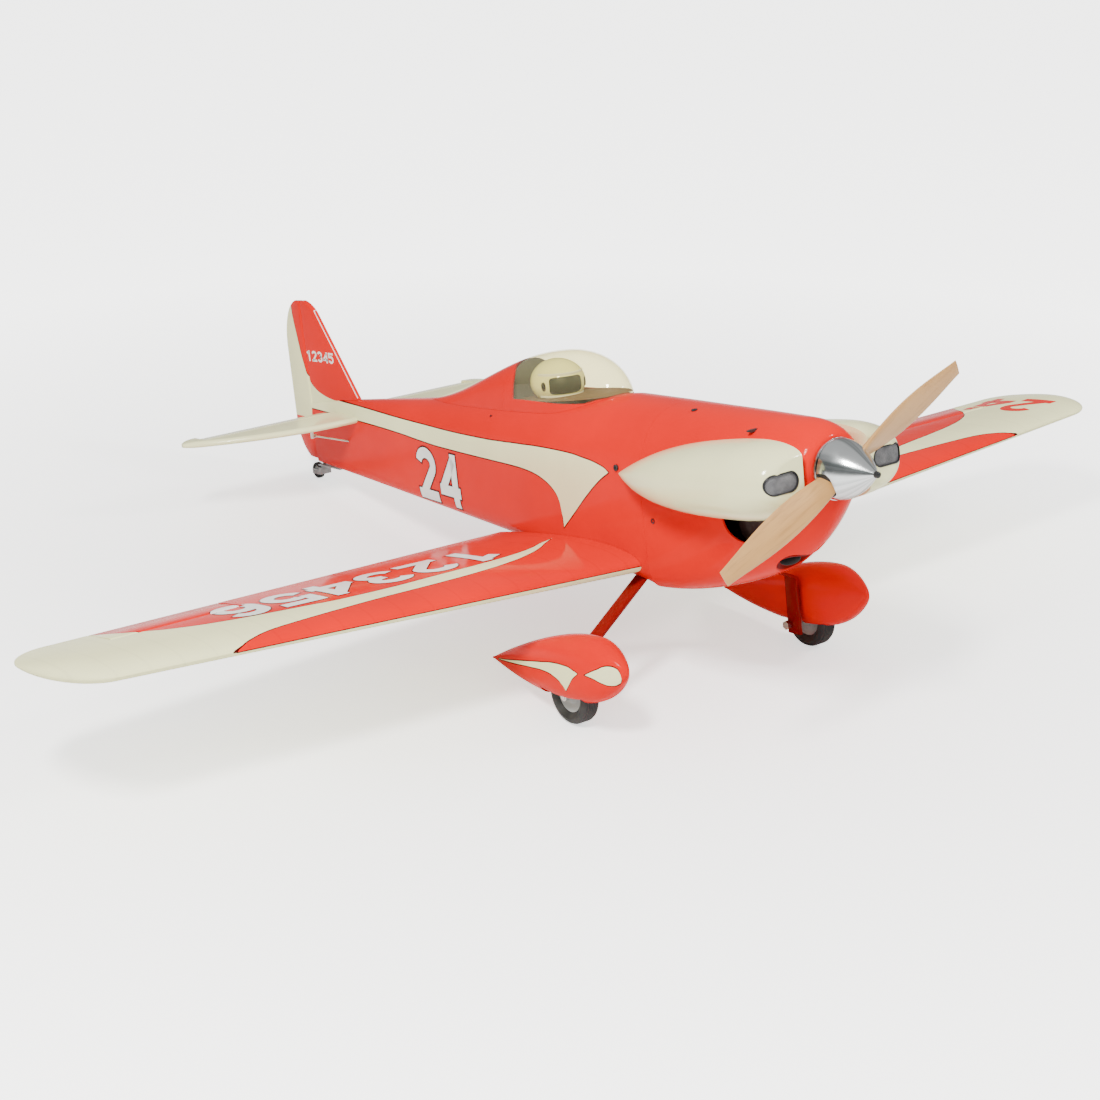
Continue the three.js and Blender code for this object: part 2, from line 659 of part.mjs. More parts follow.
function makeAxle() {
  const start = 186;
  const end = WHEEL.x + 22;
  const shaft = rod(at(start, WHEEL.y, WHEEL.z), at(end, WHEEL.y, WHEEL.z), 4, 16);
  const nut = rod(at(start - 1, WHEEL.y, WHEEL.z), at(start + 7, WHEEL.y, WHEEL.z), 7.5, 6);
  const collar = rod(at(WHEEL.x + 14, WHEEL.y, WHEEL.z), at(end - 1, WHEEL.y, WHEEL.z), 7, 16);
  return join(shaft, nut, collar);
}

// The leg is a bent strip: out of the belly, down to the wheel fairing and down its inner side.
const LEG = { start: [58, -187], knee: [196.5, -256.25], foot: [196.5, -352], thick: 4.6,
  width: 27, y: 394, rake: 0.26 };

function gearLeg(clearance) {
  const half = LEG.thick / 2 + clearance;
  const [sx, sz] = LEG.start;
  const [kx, kz] = LEG.knee;
  const [fx, fz] = LEG.foot;
  const slope = Math.atan2(kz - sz, kx - sx);
  const across = [-Math.sin(slope) * half, Math.cos(slope) * half];
  const back = [Math.cos(slope) * clearance, Math.sin(slope) * clearance];
  const miter = half * Math.tan((Math.PI / 2 + slope) / 2);
  const wide = LEG.width / 2 + clearance;
  const section = (upper, lower) => [[upper, -1], [upper, 1], [lower, 1], [lower, -1]].map(
    ([[x, z], side]) => at(x, LEG.y - LEG.rake * (x - sx) + side * wide, z));
  return loft([
    section([sx + across[0] - back[0], sz + across[1] - back[1]],
      [sx - across[0] - back[0], sz - across[1] - back[1]]),
    section([kx + half, kz + miter], [kx - half, kz - miter]),
    section([fx + half, fz - clearance], [fx - half, fz - clearance]),
  ]);
}

function makeGearLeg() {
  const hole = rod(at(180, WHEEL.y, WHEEL.z), at(215, WHEEL.y, WHEEL.z), 4.5, 16);
  return cut(gearLeg(0), hole);
}

function pantRing(t, inset) {
  const y = PANT.nose + t * (PANT.tail - PANT.nose);
  const swell = Math.max(0.03, 1.02 * foilHalf(clamp01(t * 0.995 + 0.002)) / 0.5);
  const height = Math.max(0.8, PANT.halfHeight * swell - inset);
  const width = Math.max(0.8, PANT.halfWidth * swell - inset);
  return ovalRing({ y, x: WHEEL.x, z: PANT.noseZ + t * (PANT.tailZ - PANT.noseZ), halfWidth: width,
    up: height, down: height, upPower: 2.3, downPower: 2.5, sides: 16 });
}

function makePant() {
  const body = loft([0, 0.02, 0.06, 0.14, 0.26, 0.4, 0.55, 0.7, 0.85, 1].map((t) => pantRing(t, 0)));
  const well = box(WHEEL.x - 20, WHEEL.x + 26, WHEEL.y - 53, WHEEL.y + 53, -420, WHEEL.z + 53);
  const bore = rod(at(190, WHEEL.y, WHEEL.z), at(WHEEL.x, WHEEL.y, WHEEL.z), 8.5, 16);
  return largestPiece(cut(body, well, bore, gearLeg(GAP)));
}

// ---- Propeller, spinner and engine -----------------------------------------------------------------
function bladeRing(radius) {
  const t = radius / PROP_RADIUS;
  const chord = 24 + 23 * Math.sin(Math.PI * clamp01((t - 0.02) / 0.98)) ** 1.2;
  const thick = 14 - 11.5 * t ** 0.6;
  const twist = Math.atan2(0.16, Math.max(t, 0.16)) * 0.9;
  return Array.from({ length: 10 }, (_, i) => {
    const angle = (2 * Math.PI * i) / 10;
    const across = (chord / 2) * Math.cos(angle);
    const deep = (thick / 2) * Math.sin(angle);
    return at(radius, deep * Math.cos(twist) - across * Math.sin(twist),
      across * Math.cos(twist) + deep * Math.sin(twist));
  });
}

function makePropeller() {
  const blade = loft([0, 30, 80, 140, 200, PROP_RADIUS].map(bladeRing));
  const other = blade.clone().rotateY(Math.PI);
  const boss = rod(at(0, -HUB_HALF, 0), at(0, HUB_HALF, 0), 21, 24);
  const bore = rod(at(0, -30, 0), at(0, 30, 0), 8.4, 16);
  return cut(join(boss, blade, other), bore).rotateY(-PROP_ANGLE);
}

function spinnerRadius(t) {
  return SPINNER_RADIUS * Math.sin((Math.PI / 2) * t) ** 0.95;
}

function makeSpinner() {
  const base = HUB_HALF;
  const outer = stations(0.07, 1, 6).map((t) => [spinnerRadius(t), base - SPINNER_LENGTH * (1 - t)]);
  const inner = outer.slice().reverse().map(([r, y], i, all) => (
    i === all.length - 1 ? [3.1, y] : [Math.max(3.1, r - 1.8), i === 0 ? y : y + 1.2]));
  const shell = turned(outer.concat(inner, [outer[0]]), 20);
  const slot = box(0, 60, -16, 30, -14, 14);
  const second = box(-60, 0, -16, 30, -14, 14);
  const trim = [slot, second].map((tool) => merged(tool).rotateY(-PROP_ANGLE));
  return cut(shell, ...trim);
}

function makeBackplate() {
  return turned([[8.5, HUB_HALF + GAP], [SPINNER_RADIUS, HUB_HALF + GAP],
    [SPINNER_RADIUS, HUB_HALF + 4.5], [8.5, HUB_HALF + 4.5], [8.5, HUB_HALF + GAP]], 20);
}

function makeSpinnerNut() {
  const front = HUB_HALF - SPINNER_LENGTH * 0.93;
  return join(rod(at(0, front - 3.5, 0), at(0, front + 24, 0), 2.7, 12),
    rod(at(0, front - 4, 0), at(0, front - GAP, 0), 4.4, 12));
}

function makeCrankshaft() {
  const nut = rod(at(0, -20, 0), at(0, -HUB_HALF - GAP, 0), 14, 6);
  return join(rod(at(0, -24, 0), at(0, 70, 0), 8, 16), nut);
}

function makeCrankcase() {
  const bore = rod(at(0, 20, 0), at(0, 74, 0), 8.6, 16);
  const nose = rod(at(0, 30, 0), at(0, 80, 0), 20, 20);
  const body = box(-32, 32, 70, 140, -32, 32);
  const plate = box(-44, 44, 134, 140, -44, 44);
  const legs = [[-38, -38], [38, -38], [-38, 38], [38, 38]].map(([x, z]) => (
    rod(at(x, 138, z), at(x, 196 - GAP, z), 5, 10)));
  return cut(join(nose, body, plate, ...legs), bore);
}

function makeCylinder() {
  const fins = [];
  for (let i = 0; i < 3; i += 1) {
    const start = 7 + 11 * i;
    fins.push([20, start], [27, start], [27, start + 4], [20, start + 4]);
  }
  const profile = [[0, 0], [20, 0], ...fins, [20, 38], [13, 41], [0, 41]];
  return turned(profile, 14).rotateZ(Math.PI / 2).translate(-32 - GAP, 103, -4);
}

function makeMuffler() {
  const can = rod(at(-44, 92, -74), at(-44, 210, -92), 17, 14);
  return join(can, rod(at(-44, 170, -88), at(-44, 188, -126), 7, 10));
}

// ---- Radio gear ----------------------------------------------------------------------------------------
function roundedBlock(x, y0, y1, z, halfWidth, halfHeight) {
  const cap = (y, k) => ovalRing({ y, x, z, halfWidth: halfWidth * k, up: halfHeight * k,
    down: halfHeight * k, upPower: 5, downPower: 5, sides: 16 });
  return loft([cap(y0, 0.8), cap(y0 + 6, 1), cap(y1 - 6, 1), cap(y1, 0.8)]);
}

// ---- Assembly --------------------------------------------------------------------------------------------
const aircraft = new THREE.Group();

function add(name, geometry, material) {
  const mesh = new THREE.Mesh(geometry, material);
  mesh.name = name;
  aircraft.add(mesh);
  return mesh;
}

function addPair(name, geometry, material) {
  const shape = geometry.index ? geometry : merged(geometry);
  add(`${name}_left`, shape, material);
  add(`${name}_right`, mirrored(shape), material);
}

// Nose-up angle at which the main tyres and the tail tyre stand on one level.
function groundPitch() {
  const run = TAIL_WHEEL.y - WHEEL.y;
  const climb = TAIL_WHEEL.z - WHEEL.z;
  const mainDrop = WHEEL.radius * Math.cos(Math.PI / WHEEL.facets);
  const tailDrop = TAIL_WHEEL.radius * Math.cos(Math.PI / TAIL_WHEEL.facets);
  return Math.atan2(climb, run) - Math.asin((tailDrop - mainDrop) / Math.hypot(run, climb));
}
const PITCH = groundPitch();

add('fuselage_shell', makeFuselage(), red);
add('firewall_box', makeFirewall(), plywood);
add('cowl', makeCowl(), red);
addPair('cheek_fairing', makeCheek(), cream);
addPair('cheek_grille', makeGrille(), darkGrey);
add('turtledeck', makeTurtledeck(), red);
add('canopy', makeCanopy(), clear);
add('cockpit_tub', makeCockpitFloor(), darkGrey);
add('instrument_panel', makeInstrumentPanel(), black);
add('pilot_bust', makePilotBust(), white);
add('pilot_helmet', makeHelmet(), cream);
add('helmet_visor', makeVisor(), black);

addPair('wing', makeWing(), red);
add('wing_tube', rod(at(-WING_TUBE.reach, WING_TUBE.y, WING_TUBE.z),
  at(WING_TUBE.reach, WING_TUBE.y, WING_TUBE.z), WING_TUBE.radius, 20), aluminium);
addPair('aileron', makeAileron(), cream);
addPair('aileron_servo', makeAileronServo(), black);
addPair('aileron_horn', makeAileronHorn(), white);
addPair('aileron_pushrod', makeAileronPushrod(), steel);

add('stabilizer', makeStabilizer(), cream);
add('elevator', makeElevator(), cream);
add('elevator_horn', makeElevatorHorn(), white);
add('elevator_pushrod', makeElevatorPushrod(), steel);
add('elevator_servo', makeTailServo(-16, 1240), black);
add('fin', makeFin(), red);
add('rudder', makeRudder(), cream);
add('rudder_horn', makeRudderHorn(), white);
add('rudder_pushrod', makeRudderPushrod(), steel);
add('rudder_servo', makeTailServo(20, 1170), black);

add('tail_wheel_bracket', makeTailBracket(), aluminium);
add('tail_wheel_fork', makeTailFork(), aluminium);
add('tail_wheel_hub', wheelRing(hubProfile(9, 5.5, 2.1), TAIL_WHEEL.facets, PITCH)
  .translate(0, TAIL_WHEEL.y, TAIL_WHEEL.z), hubGrey);
add('tail_wheel_tyre', wheelRing(tyreProfile(TAIL_WHEEL.radius, TAIL_WHEEL.width, 9 + GAP),
  TAIL_WHEEL.facets, PITCH).translate(0, TAIL_WHEEL.y, TAIL_WHEEL.z), rubber);

addPair('gear_leg', makeGearLeg(), red);
addPair('wheel_pant', makePant(), red);
addPair('axle', makeAxle(), steel);
addPair('wheel_hub', wheelRing(hubProfile(26, 13, 4.4), WHEEL.facets, PITCH)
  .translate(WHEEL.x, WHEEL.y, WHEEL.z), hubGrey);
addPair('main_tyre', wheelRing(tyreProfile(WHEEL.radius, WHEEL.width, 26 + GAP), WHEEL.facets, PITCH)
  .translate(WHEEL.x, WHEEL.y, WHEEL.z), rubber);

add('propeller', makePropeller(), wood);
add('spinner', makeSpinner(), aluminium);
add('spinner_backplate', makeBackplate(), aluminium);
add('spinner_nut', makeSpinnerNut(), black);
add('crankshaft', makeCrankshaft(), steel);
add('engine_crankcase', makeCrankcase(), aluminium);
add('engine_cylinder', makeCylinder(), darkGrey);
add('muffler', makeMuffler(), darkGrey);
add('fuel_tank', roundedBlock(0, 380, 505, 0, 42, 34), white);
add('battery_pack', roundedBlock(-28, 570, 650, -120, 18, 14), black);
add('receiver', roundedBlock(32, 580, 640, -120, 18, 9), darkGrey);

// Stand the aircraft on its tyres, centred over the origin.
aircraft.rotation.x = -PITCH;
const assembly = new THREE.Group();
assembly.add(aircraft);
assembly.updateMatrixWorld(true);
const extent = new THREE.Box3().setFromObject(assembly, true);
aircraft.position.set(-(extent.min.x + extent.max.x) / 2, -(extent.min.y + extent.max.y) / 2,
  -extent.min.z);
assembly.updateMatrixWorld(true);

export default assembly;
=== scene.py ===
"""The looks of a giant-scale radio-controlled racing aeroplane.

Every shape is written in the aircraft's own frame, in millimetres: the origin is the
propeller hub, +Y runs aft along the thrust line, +X points to the aircraft's left wing tip
and +Z is up. place() turns that frame into the row frame, where the aircraft stands nose-up.
"""

import itertools
import json
import math

import bmesh
import bpy
import numpy as np
from mathutils import Matrix


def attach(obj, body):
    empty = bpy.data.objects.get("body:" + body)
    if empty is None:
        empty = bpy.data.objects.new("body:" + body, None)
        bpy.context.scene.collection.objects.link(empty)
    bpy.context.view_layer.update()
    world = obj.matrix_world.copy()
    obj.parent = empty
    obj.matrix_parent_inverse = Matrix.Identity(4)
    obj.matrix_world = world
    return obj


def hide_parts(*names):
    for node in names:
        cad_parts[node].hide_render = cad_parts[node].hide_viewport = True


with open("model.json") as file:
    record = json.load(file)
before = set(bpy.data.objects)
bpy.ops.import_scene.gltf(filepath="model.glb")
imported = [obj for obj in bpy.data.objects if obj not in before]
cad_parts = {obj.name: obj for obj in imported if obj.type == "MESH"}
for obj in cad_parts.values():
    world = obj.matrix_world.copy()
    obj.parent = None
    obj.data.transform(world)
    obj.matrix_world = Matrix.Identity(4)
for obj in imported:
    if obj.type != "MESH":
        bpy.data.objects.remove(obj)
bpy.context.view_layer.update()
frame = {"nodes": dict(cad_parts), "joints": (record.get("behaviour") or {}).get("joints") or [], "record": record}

# ---- The aircraft frame ----

THRUST_LINE = next(j for j in frame["joints"] if j["name"] == "prop_spin")
HUB = np.array(THRUST_LINE["pos_m"], float)
SIDE = np.array([1.0, 0.0, 0.0])
AFT = np.array(THRUST_LINE["axis"], float) / np.linalg.norm(THRUST_LINE["axis"])
UP = np.cross(SIDE, AFT)
AXES = np.array([SIDE, AFT, UP])

GAP = 0.35
HALF_SPAN = 1016
SIDES = (("right", -1), ("left", 1))
HULL_START, COWL_END, HULL_END = 18, 345, 1496
HULL_HALF_WIDTH, NOSE_HALF_WIDTH, STERN_HALF_WIDTH = 98, 40, 9
NOSE_WIDENING, TAPER_START = 215, 640
NOSE_TOP, DECK, DECK_END, DECK_SLOPE = 42, 67, 480, 0.095
NOSE_DEPTH, BELLY, BELLY_RISE = -40, -210, 60
CANOPY_FRONT, CANOPY_PEAK, CANOPY_REAR, RIDGE_END = 492, 640, 756, 1080
RIDGE_HEIGHT, RIDGE_HALF_WIDTH = 75, 64
COCKPIT_HALF, COCKPIT_FRONT, COCKPIT_REAR = 47, 543, 750
SPINNER_RADIUS, SPINNER_LENGTH, HUB_HALF = 44, 78, 11
PROP_RADIUS, PROP_ANGLE = 254, math.radians(24.2)
OUTLET_Y, OUTLET_Z, OUTLET_RADIUS, SCOOP_Y = 122, -68, 41, 110
WHEEL_X, WHEEL_Y, WHEEL_Z, WHEEL_RADIUS = 240, 368, -337.5, 46
TAIL_WHEEL_Y, TAIL_WHEEL_Z, TAIL_WHEEL_RADIUS = 1513, -170, 16
FIN_FOOT, FIN_ROOT, FIN_LEAN, FIN_TOP, FIN_HINGE, FIN_HALF, FIN_CHORD = 1315, 14, 0.79, 166, 1503, 5.5, 70
WING_ROOT, WING_ROOT_Z, WING_RISE = 99, -171, 0.0445
WING_LEADING, WING_SWEEP, WING_TRAILING, WING_TAPER = 364, 42, 746, 103


def place(points):
    """Aircraft-frame points in millimetres, as row-frame points in metres."""
    return HUB + np.asarray(points, float).reshape(-1, 3) @ AXES / 1000


def clamp01(value):
    return min(1.0, max(0.0, value))


def arc_rise(t):
    """A quarter of an ellipse, from 0 at t = 0 to 1 at t = 1."""
    return math.sqrt(1 - (1 - clamp01(t)) ** 2)


# ---- Mesh helpers ----


def mesh_object(name, points, faces):
    mesh = bpy.data.meshes.new(name)
    mesh.from_pydata(place(points).tolist(), [], faces)
    shape = bmesh.new()
    shape.from_mesh(mesh)
    bmesh.ops.remove_doubles(shape, verts=shape.verts, dist=1e-6)
    bmesh.ops.recalc_face_normals(shape, faces=shape.faces)
    shape.to_mesh(mesh)
    shape.free()
    obj = bpy.data.objects.new(name, mesh)
    bpy.context.scene.collection.objects.link(obj)
    return obj


def walls(rows, count):
    """Quads between neighbouring closed rows of equally many points."""
    return [(row + i, row + (i + 1) % count, row + (i + 1) % count + count, row + i + count)
            for row in range(0, (rows - 1) * count, count) for i in range(count)]


def loft(name, rings):
    """A closed body through rings of equally many points."""
    count, last = len(rings[0]), (len(rings) - 1) * len(rings[0])
    faces = [tuple(range(count)), *walls(len(rings), count), tuple(range(last, last + count))]
    return mesh_object(name, np.concatenate(rings), faces)


def slab(name, outline, levels, axis):
    """A body with the same flat outline at every level along an axis."""
    return loft(name, [np.insert(outline, axis, float(level), axis=1) for level in levels])


def turned(name, profile, centre, axis, sides, closed=True):
    """A body of revolution. The profile is (radius, along) pairs about an axis."""
    along = np.asarray(axis, float)
    first = np.cross(along, [0.31, 0.17, 0.94])
    first /= np.linalg.norm(first)
    second = np.cross(along, first)
    points, faces = [], []
    count = len(profile)
    for step in range(sides):
        angle = 2 * math.pi * step / sides
        out = math.cos(angle) * first + math.sin(angle) * second
        points += [np.asarray(centre) + r * out + y * along for r, y in profile]
    for step in range(sides):
        here, there = step * count, (step + 1) % sides * count
        for i in range(count if closed else count - 1):
            j = (i + 1) % count
            faces.append((here + i, here + j, there + j, there + i))
    return mesh_object(name, points, faces)


def rod(name, start, end, radius, sides=24):
    """A round bar between two points."""
    start, end = np.asarray(start, float), np.asarray(end, float)
    length = np.linalg.norm(end - start)
    profile = [(0, 0), (radius, 0), (radius, length), (0, length)]
    return turned(name, profile, start, (end - start) / length, sides, closed=False)


def box(name, low, high):
    corners = list(itertools.product(*zip(low, high)))
    faces = [(0, 1, 3, 2), (4, 5, 7, 6), (0, 1, 5, 4), (2, 3, 7, 6), (0, 2, 6, 4), (1, 3, 7, 5)]
    return mesh_object(name, corners, faces)


def bake(obj):
    """Puts the result of an object's modifiers in its mesh."""
    obj.data = bpy.data.meshes.new_from_object(obj.evaluated_get(bpy.context.evaluated_depsgraph_get()))
    obj.modifiers.clear()


def carve(obj, *tools, operation="DIFFERENCE"):
    """Applies the tools to obj one after another, and removes them."""
    for tool in tools:
        cut = obj.modifiers.new("cut", "BOOLEAN")
        cut.solver = "MANIFOLD"
        cut.operation = operation
        cut.object = tool
    bake(obj)
    for tool in tools:
        bpy.data.objects.remove(tool)
    return obj


def round_edges(obj, width, angle=40):
    """Rounds the sharp edges by a width in millimetres."""
    bevel = obj.modifiers.new("round", "BEVEL")
    bevel.width = width / 1000
    bevel.segments = 3
    bevel.limit_method = "ANGLE"
    bevel.angle_limit = math.radians(angle)
    bake(obj)
    return obj


def dress(obj, material, nodes=(), body="airframe", sharp=38):
    """Shades a finished piece, makes it ride on its body and stand for its CAD nodes."""
    obj.data.materials.clear()
    obj.data.materials.append(material)
    obj.data.shade_smooth()
    obj.data.set_sharp_from_angle(angle=math.radians(sharp))
    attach(obj, body)
    if nodes:
        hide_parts(*nodes)


def spaced(start, end, count):
    return np.linspace(start, end, count)


# ---- Procedural materials ----


class Surface:
    """One procedural material. Its methods return sockets that feed other nodes."""

    def __init__(self, name):
        self.material = bpy.data.materials.new(name)
        self.material.use_nodes = True
        self.tree = self.material.node_tree
        self.tree.nodes.clear()
        self.output = self.tree.nodes.new("ShaderNodeOutputMaterial")
        self.point = self.tree.nodes.new("ShaderNodeTexCoord").outputs["Object"]

    def feed(self, socket, value):
        if isinstance(value, bpy.types.NodeSocket):
            self.tree.links.new(value, socket)
        else:
            socket.default_value = value

    def node(self, kind, inputs, **properties):
        made = self.tree.nodes.new("ShaderNode" + kind)
        for key, value in properties.items():
            setattr(made, key, value)
        for key, value in inputs.items():
            self.feed(made.inputs[key], value)
        return made

    def math(self, operation, *values):
        inputs = dict(enumerate(values))
        return self.node("Math", inputs, operation=operation).outputs[0]

    def vector(self, operation, a, b, output="Vector"):
        return self.node("VectorMath", {0: a, 1: b}, operation=operation).outputs[output]

    def mix(self, share, a, b, blend="MIX"):
        node = self.node("MixRGB", {"Fac": share, "Color1": a, "Color2": b}, blend_type=blend)
        return node.outputs["Color"]

    def noise(self, scale, detail=4.0, roughness=0.55, point=None):
        inputs = {"Vector": point or self.point, "Scale": scale, "Detail": detail, "Roughness": roughness}
        return self.node("TexNoise", inputs).outputs[0]

    def stretched(self, scale):
        """The object point with each axis scaled on its own."""
        return self.vector("MULTIPLY", self.point, scale)

    def ramp(self, value, low, high, out_low=0.0, out_high=1.0):
        inputs = {0: value, 1: low, 2: high, 3: out_low, 4: out_high}
        return self.node("MapRange", inputs, clamp=True).outputs[0]

    def both(self, *masks):
        """1 where every mask is 1."""
        total = masks[0]
        for mask in masks[1:]:
            total = self.math("MULTIPLY", total, mask)
        return total

    def either(self, *masks):
        """1 where any mask is 1."""
        total = masks[0]
        for mask in masks[1:]:
            total = self.math("MAXIMUM", total, mask)
        return total

    def less(self, a, b):
        """1 where a is less than b, elsewhere 0."""
        return self.math("LESS_THAN", a, b)

    def near(self, a, b, reach):
        """1 where a and b are within a reach of each other, elsewhere 0."""
        return self.math("COMPARE", a, b, reach)

    def aircraft(self):
        """x, y and z of the surface in the aircraft frame, in millimetres."""
        away = self.vector("SUBTRACT", self.point, HUB.tolist())
        return [self.vector("DOT_PRODUCT", away, (1000 * axis).tolist(), "Value") for axis in AXES]

    def curve(self, value, points, corner=None):
        """A smooth curve through (from, to) pairs in millimetres, with a sharp turn at the corner."""
        xs, ys = [p[0] for p in points], [p[1] for p in points]
        low, high = min(ys), max(ys)
        share = self.ramp(value, xs[0], xs[-1])
        node = self.node("FloatCurve", {"Value": share})
        table = node.mapping.curves[0]
        for x, y in points[1:-1]:
            table.points.new((x - xs[0]) / (xs[-1] - xs[0]), (y - low) / (high - low))
        for knot, y in ((table.points[0], ys[0]), (table.points[-1], ys[-1])):
            knot.location = (knot.location[0], (y - low) / (high - low))
        for knot, x in zip(table.points, xs):
            knot.handle_type = "VECTOR" if x == corner else "AUTO_CLAMPED"
        node.mapping.update()
        return self.ramp(node.outputs[0], 0.0, 1.0, low, high)

    def bump(self, height, strength, distance):
        """Relief from a height pattern; the distance is in metres."""
        inputs = {"Height": height, "Strength": strength, "Distance": distance}
        return self.node("Bump", inputs).outputs[0]

    def principled(self, **inputs):
        named = {key.replace("_", " "): value for key, value in inputs.items()}
        return self.node("BsdfPrincipled", named).outputs[0]

    def done(self, shader):
        self.feed(self.output.inputs["Surface"], shader)
        return self.material

    def finish(self, color, rough, normal, **more):
        """The whole material from one principled shader."""
        return self.done(self.principled(Base_Color=color, Roughness=rough, Normal=normal, **more))


# Linear colours
RED = (0.74, 0.008, 0.004, 1)
DARK_RED = (0.06, 0.003, 0.003, 1)
# The same red paint darkened: painted shade for the gear legs and the chin duct.
PAINTED_SHADE_RED = (0.22, 0.006, 0.005, 1)
CREAM = (0.90, 0.89, 0.50, 1)
WHITE = (0.86, 0.86, 0.82, 1)
BLACK = (0.012, 0.012, 0.013, 1)


def gloss(surface, color, waviness=0.10, shine=0.03):
    """Glossy film or paint: faint shade changes, a soft waviness and a few fine scuffs."""
    shade = surface.ramp(surface.noise(5.0), 0.3, 0.7, 0.93, 1.05)
    grey = surface.node("CombineXYZ", {0: shade, 1: shade, 2: shade}).outputs[0]
    tinted = surface.mix(1.0, color, grey, "MULTIPLY")
    scuffs = surface.ramp(surface.noise(120.0, 3.0, point=surface.stretched((1, 0.15, 1))), 0.55, 0.8)
    satin = surface.ramp(surface.noise(22.0), 0.3, 0.7, 0.10, 0.18)
    rough = surface.math("MULTIPLY_ADD", scuffs, 0.05, satin)
    normal = surface.bump(surface.noise(14.0, 2.0), waviness, 0.004)
    return surface.principled(Base_Color=tinted, Roughness=rough, Normal=normal, Coat_Weight=0.05,
                              Coat_Roughness=0.03, Specular_IOR_Level=shine)


def gloss_material(name, color, shine=0.03):
    surface = Surface(name)
    return surface.done(gloss(surface, color, shine=shine))


# Outlines of the painted trim: (y, z) pairs for the hull stripe and (z, y) pairs for the fin's border.
STRIPE_TOP = [(421, -32), (442, -23), (494, -15), (547, -11.5), (602, -11), (660, -12.5), (725, -15.5),
              (793, -18), (940, -20), (1101, -20), (1280, -19), (1500, -20)]
STRIPE_TIP = [(421, -32), (445, -46), (487, -78), (520, -107), (555, -137)]
STRIPE_LOW = [(555.5, -118), (557, -104), (560, -95), (564, -87), (571, -79), (582, -71), (600, -62.5),
              (622, -56), (645, -52.5), (670, -51), (720, -50.5), (867, -51), (941, -51), (1017, -49),
              (1098, -46), (1292, -44), (1500, -44)]
FIN_BORDER = [(-22, 1395), (-19, 1420), (-14, 1445), (-6, 1468), (6, 1487), (22, 1500), (40, 1508),
              (60, 1515), (80, 1520), (108, 1527), (131, 1533), (152, 1537), (170, 1541)]


def hull_paint():
    """Red, with a cream stripe along the side that ends in a pointed sweep."""
    surface = Surface("hull_paint")
    _, y, z = surface.aircraft()
    top = surface.curve(y, STRIPE_TOP)
    tip = surface.curve(y, STRIPE_TIP)
    low = surface.curve(y, STRIPE_LOW)
    point, turn = STRIPE_TOP[0][0], STRIPE_LOW[0][0]
    ahead, behind = surface.less(y, turn), surface.less(turn, y)
    in_stripe = surface.both(surface.less(z, top), surface.less(point, y))
    cream = surface.both(in_stripe, surface.either(surface.both(ahead, surface.less(tip, z)),
                                                   surface.both(behind, surface.less(low, z))))
    line = surface.either(
        surface.both(surface.near(z, top, 0.9), surface.less(point, y)),
        surface.both(surface.near(z, tip, 1.2), surface.less(point, y), ahead),
        surface.both(surface.near(y, turn, 0.8), surface.less(-136.0, z), surface.less(z, -117.0)),
        surface.both(surface.near(z, low, 1.0), behind))
    color = surface.mix(line, surface.mix(cream, RED, CREAM), DARK_RED)
    return surface.done(gloss(surface, color))


def tail_paint():
    """Red ahead of a curved border and below the tailplane, cream behind it."""
    surface = Surface("tail_paint")
    _, y, z = surface.aircraft()
    border = surface.curve(z, FIN_BORDER)
    ahead = surface.both(surface.less(y, border), surface.less(-21.0, z))
    red = surface.either(ahead, surface.less(z, -64.0))
    line = surface.both(surface.near(y, border, 0.9), surface.less(-21.0, z))
    lead = surface.math("MULTIPLY_ADD", z, FIN_LEAN, FIN_FOOT + FIN_LEAN * FIN_ROOT)
    behind_lead = surface.math("SUBTRACT", y, lead)
    pin = surface.both(surface.near(behind_lead, 2.1, 0.7), surface.less(-10.0, z), surface.less(z, 150.0))
    color = surface.mix(pin, surface.mix(line, surface.mix(red, CREAM, RED), DARK_RED), WHITE)
    return surface.done(gloss(surface, color))


WING_FRONT = [(120, 558), (153, 532), (178, 510), (213, 488), (263, 469), (326, 457), (402, 450), (509, 445),
              (580, 439), (649, 432), (702, 424), (741, 410), (770, 398), (900, 380)]
WING_AFT = [(120, 558), (157, 541), (189, 522), (237, 507), (299, 498), (375, 492), (485, 484), (554, 485),
            (614, 494), (673, 503), (731, 516), (783, 538), (827, 577), (859, 627), (880, 660), (900, 700)]


def wing_paint():
    """Upper side red with a cream band that sweeps out into a cream tip; underside cream. The dark line along the
    leading edge, below the red, is a painted shadow.
    """
    surface = Surface("wing_paint")
    x, y, z = surface.aircraft()
    out = surface.math("ABSOLUTE", x)
    front = surface.curve(out, WING_FRONT)
    aft = surface.curve(out, WING_AFT)
    middle = surface.math("MULTIPLY_ADD", out, WING_RISE, WING_ROOT_Z - WING_RISE * WING_ROOT)
    above = surface.math("SUBTRACT", z, middle)
    upper = surface.less(-1.2, above)
    red = surface.both(upper, surface.either(surface.less(y, front), surface.less(aft, y)))
    edges = surface.either(surface.near(y, front, 1.1), surface.near(y, aft, 1.1))
    border = surface.both(upper, edges, surface.less(124.0, out))
    # Painted shadow: a dark line where the red upper side meets the cream underside at the leading edge.
    nose = surface.both(surface.near(above, -1.2, 0.7), surface.less(y, front))
    line = surface.either(border, nose)
    ribs = surface.node("TexWave", {"Vector": surface.point, "Scale": 6.5, "Distortion": 0.0},
                        bands_direction="X").outputs["Color"]
    color = surface.mix(line, surface.mix(red, CREAM, RED), DARK_RED)
    shaded = surface.mix(surface.ramp(ribs, 0.97, 1.0, 0.0, 0.05), color, DARK_RED)
    return surface.done(gloss(surface, shaded, 0.14))


